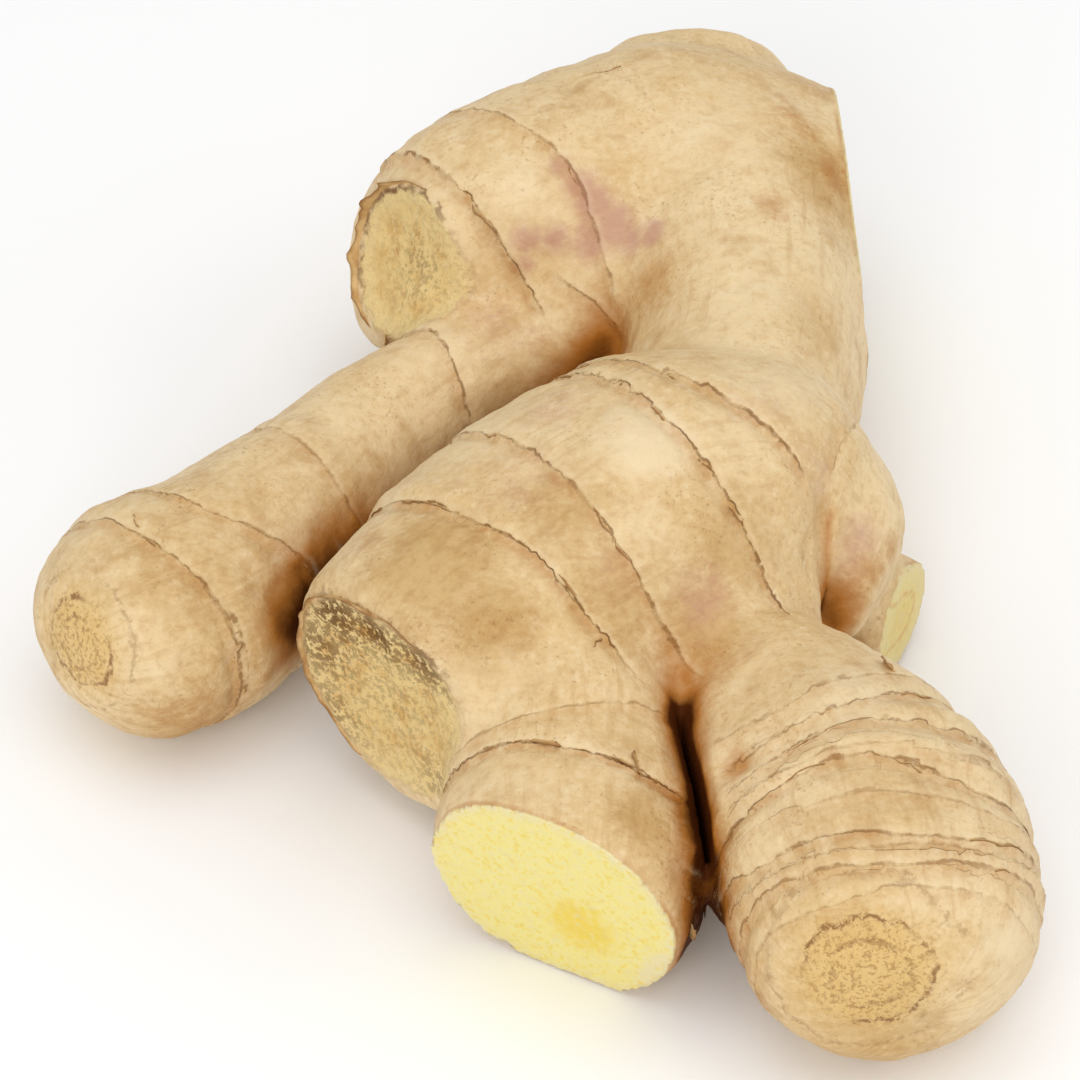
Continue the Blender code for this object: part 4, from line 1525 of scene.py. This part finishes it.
@dataclass
class Husk:
    """Thin dry pieces that stand on the skin: the edges along the rings, a torn rim and loose chips."""

    skin: Skin
    finish: HuskFinish
    thickness: float = 0.09 * MM
    pitch: float = 0.75
    tree: BVHTree = field(init=False)
    material: bpy.types.Material = field(init=False)

    def build(self) -> list:
        """Make every dry piece.

        Returns:
            The finished pieces.
        """
        self.tree = BVHTree.FromObject(self.skin.obj, bpy.context.evaluated_depsgraph_get())
        self.material = self.finish.material()
        pieces = []
        for name, spine in self.skin.spines.items():
            rings = [ring for ring in RINGS if ring.limb == name and ring.flap > 0.0]
            strips = [strip for ring in rings for strip in self.ring_strips(spine, ring)]
            if strips:
                pieces.append(self.close_up(strips, f"scale_edges_{name}"))
        pieces.append(self.close_up([self.scar_rim(SCARS[0], 8.9, 95.0, 265.0, 1.5)], "torn_rim_back_lobe"))
        pieces.append(self.close_up([self.scar_rim(SCARS[1], 12.2, 60.0, 250.0, 0.7)], "torn_rim_middle_body"))
        pieces.append(self.close_up([self.chip(flake) for flake in FLAKES], "loose_chips"))
        return pieces

    def surface(self, start: np.ndarray, ray: np.ndarray, reach: float) -> tuple:
        """Where a ray meets the skin.

        Args:
            start: the ray's start, in the frame of the tables.
            ray: its direction.
            reach: how far it looks, in millimetres.

        Returns:
            The point, in millimetres in the frame of the tables, the way the skin faces there and the distance, or
            None for each.
        """
        origin = Vector(((start + CENTRE_SHIFT) * MM).tolist())
        place, normal, _, distance = self.tree.ray_cast(origin, Vector(ray.tolist()), reach * MM)
        if place is None:
            return None, None, None
        return np.array(place) / MM - CENTRE_SHIFT, np.array(normal), distance / MM

    def sheet(self, columns: int, rows: int) -> tuple:
        """A flat grid, ready to be shaped.

        Args:
            columns: its faces along x.
            rows: its faces along y.

        Returns:
            The grid's object, and the place of each vertex along and across it, from 0 to 1.
        """
        bpy.ops.object.select_all(action="DESELECT")
        bpy.ops.mesh.primitive_grid_add(x_subdivisions=columns, y_subdivisions=rows, size=1.0)
        obj = bpy.context.active_object
        flat = rows_of(obj.data, "co") + 0.5
        return obj, flat[:, 0], flat[:, 1]

    def ring_strips(self, spine: Spine, ring: Ring) -> list:
        """The dry edge along one ring, in as many strips as the joins leave.

        Args:
            spine: the limb's middle line.
            ring: the ring.

        Returns:
            The strips.
        """
        radius = float(spine.halves.mean())
        count = int(2.0 * math.pi * radius / self.pitch)
        angles = np.linspace(0.0, 2.0 * math.pi, count + 1)
        turns = np.column_stack([np.cos(angles), np.sin(angles)])
        planes = ring_plane(ring, turns)
        clear = []
        last = 0.0
        for turn, distance in zip(turns, planes):
            start, ray, own = spine.ray(distance, turn)
            point, _, far = self.surface(start, ray, 2.0 * own)
            seated = far is not None and 0.78 * own < far < 1.22 * own
            even = far is not None and abs(far - last) < 0.5
            clear.append(seated and even and self.skin.fold_field(point[None], 2.2)[0][0] < 0.3)
            last = far or 0.0
        strips, first = [], None
        for index in range(count + 2):
            if index <= count and clear[index]:
                first = index if first is None else first
            elif first is not None:
                if index - first > 13:
                    strips.append(self.ring_strip(spine, ring, angles[first], angles[index - 1], index - 1 - first))
                first = None
        return strips

    def ring_strip(self, spine: Spine, ring: Ring, low: float, high: float, columns: int) -> bpy.types.Object:
        """One strip of dry edge, seated on the skin and torn along its far side.

        Args:
            spine: the limb's middle line.
            ring: the ring.
            low: the angle where it starts.
            high: the angle where it ends.
            columns: its faces along the ring.

        Returns:
            The strip.
        """
        obj, along, across = self.sheet(columns, 3)
        angles = low + along * (high - low)
        turns = np.column_stack([np.cos(angles), np.sin(angles)])
        seeds = np.column_stack([turns * spine.halves.mean(), np.full(len(turns), 7.0 * ring.number + ring.distance)])
        tears = noise_at(seeds / 1.1) + 0.5 * noise_at(seeds / 0.5)
        shown = smooth_step(noise_at(seeds / 4.2), 0.0, 0.4) * np.clip(np.sin(np.pi * along), 0.0, 1.0) ** 0.2
        planes = ring_plane(ring, turns) - 0.7 + 0.8 * across + 0.35 * tears * across
        lifts = -0.2 + across * (0.12 + 0.06 * tears) + across**2 * ring.flap * 0.8 * shown - 0.3 * (1.0 - shown)
        places = []
        for distance, turn, lift in zip(planes, turns, lifts):
            start, ray, own = spine.ray(distance, turn)
            point, normal, _ = self.surface(start, ray, 1.6 * own)
            if point is None:
                point, normal = start + ray * own, ray
            places.append(point + normal * lift)
        put_rows(obj.data, (np.array(places) + CENTRE_SHIFT) * MM)
        put_attribute(obj.data, "torn_edge", across)
        return obj

    def scar_rim(self, scar: Scar, radius: float, low: float, high: float, height: float) -> bpy.types.Object:
        """A torn edge of skin that stands up round part of a scar.

        Args:
            scar: the scar.
            radius: how far from the scar's middle it stands, in millimetres.
            low: the angle in degrees where it starts, from the scar's right hand.
            high: the angle where it ends.
            height: how far it stands up, in millimetres.

        Returns:
            The torn edge.
        """
        facing = unit(scar.facing)
        right = unit(np.cross((0.0, 0.0, 1.0), facing))
        up = np.cross(facing, right)
        columns = int(math.radians(high - low) * radius / 0.6)
        obj, along, across = self.sheet(columns, 4)
        angles = np.radians(low + along * (high - low))
        seeds = np.column_stack([np.cos(angles) * radius, np.sin(angles) * radius, np.full(len(angles), scar.radius)])
        tears = noise_at(seeds / 2.3) + 0.6 * noise_at(seeds / 0.9)
        shown = np.sin(np.pi * along) ** 0.5
        rises = -0.5 + across * (height * shown * (0.75 + 0.6 * tears) + 0.5)
        spans = radius + across * 0.5 * noise_at(seeds / 3.0) + 0.35 * across
        places = []
        for angle, span, rise in zip(angles, spans, rises):
            ray = right * math.cos(angle) + up * math.sin(angle)
            above = np.array(scar.centre) + ray * span + facing * 4.0
            point, _, _ = self.surface(above, -facing, 9.0)
            if point is None:
                point = np.array(scar.centre) + ray * span - facing * 1.5
            places.append(point + facing * rise)
        put_rows(obj.data, (np.array(places) + CENTRE_SHIFT) * MM)
        put_attribute(obj.data, "torn_edge", across)
        return obj

    def chip(self, flake: Flake) -> bpy.types.Object:
        """A loose chip of dry skin with one edge stuck down.

        Args:
            flake: where it sits and its sizes.

        Returns:
            The chip.
        """
        centre = Vector(((np.array(flake.centre) + CENTRE_SHIFT) * MM).tolist())
        place, normal, _, _ = self.tree.find_nearest(centre)
        base = np.array(place) / MM - CENTRE_SHIFT
        facing = np.array(normal)
        side = unit(np.cross(facing, (math.cos(flake.turn), math.sin(flake.turn), 0.3)))
        front = np.cross(facing, side)
        obj, along, across = self.sheet(7, 4)
        seeds = np.column_stack([along * 3.0, across * 3.0, np.full(len(along), flake.centre[0])])
        ragged = 1.0 + 0.5 * noise_at(seeds) - 0.8 * (along - 0.5) ** 2
        places = (
            base
            + ((along - 0.5) * flake.length)[:, None] * side
            + (across * flake.width * ragged)[:, None] * front
            + (-0.2 + across**1.5 * flake.lift + 0.15 * noise_at(seeds * 1.7))[:, None] * facing
        )
        put_rows(obj.data, (places + CENTRE_SHIFT) * MM)
        put_attribute(obj.data, "torn_edge", across)
        return obj

    def close_up(self, strips: list, name: str) -> bpy.types.Object:
        """Join strips into one piece, give it a thickness and dress it.

        Args:
            strips: the strips.
            name: the piece's name.

        Returns:
            The finished piece.
        """
        bpy.ops.object.select_all(action="DESELECT")
        for strip in strips:
            strip.select_set(True)
        bpy.context.view_layer.objects.active = strips[0]
        if len(strips) > 1:
            bpy.ops.object.join()
        obj = strips[0]
        obj.name = name
        obj.data.name = name
        pick_only(obj)
        bpy.ops.object.mode_set(mode="EDIT")
        bpy.ops.mesh.select_all(action="SELECT")
        bpy.ops.mesh.normals_make_consistent(inside=False)
        bpy.ops.object.mode_set(mode="OBJECT")
        apply_modifier(obj, "SOLIDIFY", thickness=self.thickness, offset=0.0)
        rows = rows_of(obj.data, "co")
        rows[:, 2] = np.maximum(rows[:, 2], self.thickness)
        put_rows(obj.data, rows)
        pick_only(obj)
        bpy.ops.object.shade_smooth()
        obj.data.materials.clear()
        obj.data.materials.append(self.material)
        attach(obj, "root")
        return obj


@dataclass
class Studio:
    """The plain floor, the soft lights and the camera."""

    finish: FloorFinish
    floor_size: float = 6.0
    target: tuple = (0.002159, -0.007693, 0.0188)
    elevation: float = 42.0
    distance: float = 0.45
    lens: float = 142.2
    world_light: float = 0.6
    lights: tuple = (
        ("top_light", (0.0, -0.1, 0.9), 0.9, 2.6),
        ("front_light", (-0.25, -0.9, 0.55), 0.7, 3.4),
        ("right_light", (0.8, -0.1, 0.5), 0.6, 1.0),
    )

    def build(self) -> None:
        """Make all of it."""
        self.lay_floor()
        self.hang_lights()
        self.set_camera()

    def lay_floor(self) -> None:
        """Lay the floor that the root rests on."""
        bpy.ops.object.select_all(action="DESELECT")
        bpy.ops.mesh.primitive_plane_add(size=self.floor_size, location=(0.0, 0.0, 0.0))
        floor = bpy.context.active_object
        floor.name = "floor"
        floor.data.materials.append(self.finish.material())

    def hang_lights(self) -> None:
        """Hang the soft lights and light the room evenly."""
        world = bpy.data.worlds.new("room")
        world.use_nodes = True
        world.node_tree.nodes["Background"].inputs["Color"].default_value = (1.0, 1.0, 1.0, 1.0)
        world.node_tree.nodes["Background"].inputs["Strength"].default_value = self.world_light
        bpy.context.scene.world = world
        for name, place, size, power in self.lights:
            lamp = bpy.data.lights.new(name, "AREA")
            lamp.shape = "DISK"
            lamp.size = size
            lamp.energy = power
            holder = bpy.data.objects.new(name, lamp)
            bpy.context.scene.collection.objects.link(holder)
            holder.location = place
            holder.rotation_mode = "QUATERNION"
            holder.rotation_quaternion = Vector(place).to_track_quat("Z", "Y")

    def set_camera(self) -> None:
        """Stand the camera where the photograph was taken from."""
        lift = math.radians(self.elevation)
        back = Vector((0.0, -math.cos(lift), math.sin(lift)))
        view = bpy.data.cameras.new("camera")
        view.lens = self.lens
        view.sensor_width = 36.0
        view.clip_start = 0.01
        view.clip_end = 20.0
        holder = bpy.data.objects.new("camera", view)
        bpy.context.scene.collection.objects.link(holder)
        holder.location = Vector(self.target) + back * self.distance
        holder.rotation_mode = "QUATERNION"
        holder.rotation_quaternion = back.to_track_quat("Z", "Y")
        bpy.context.scene.camera = holder
        bpy.context.scene.view_settings.view_transform = "Standard"


def clear_start_objects() -> None:
    """Remove what the file opened with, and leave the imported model."""
    kept = set(frame["nodes"].values()) | set(frame["bodies"].values())
    for obj in list(bpy.data.objects):
        if obj not in kept:
            bpy.data.objects.remove(obj)


def main() -> None:
    """Build the root's pieces and the studio."""
    logging.basicConfig(level=logging.INFO, format="%(name)s: %(message)s")
    clear_start_objects()
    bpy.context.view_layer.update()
    skin = Skin(SkinFinish())
    skin.build()
    log.info("%s has %d faces", skin.name, len(skin.obj.data.polygons))
    for piece in Husk(skin, HuskFinish()).build():
        log.info("%s has %d faces", piece.name, len(piece.data.polygons))
    Studio(FloorFinish()).build()


if __name__ == "__main__":
    main()
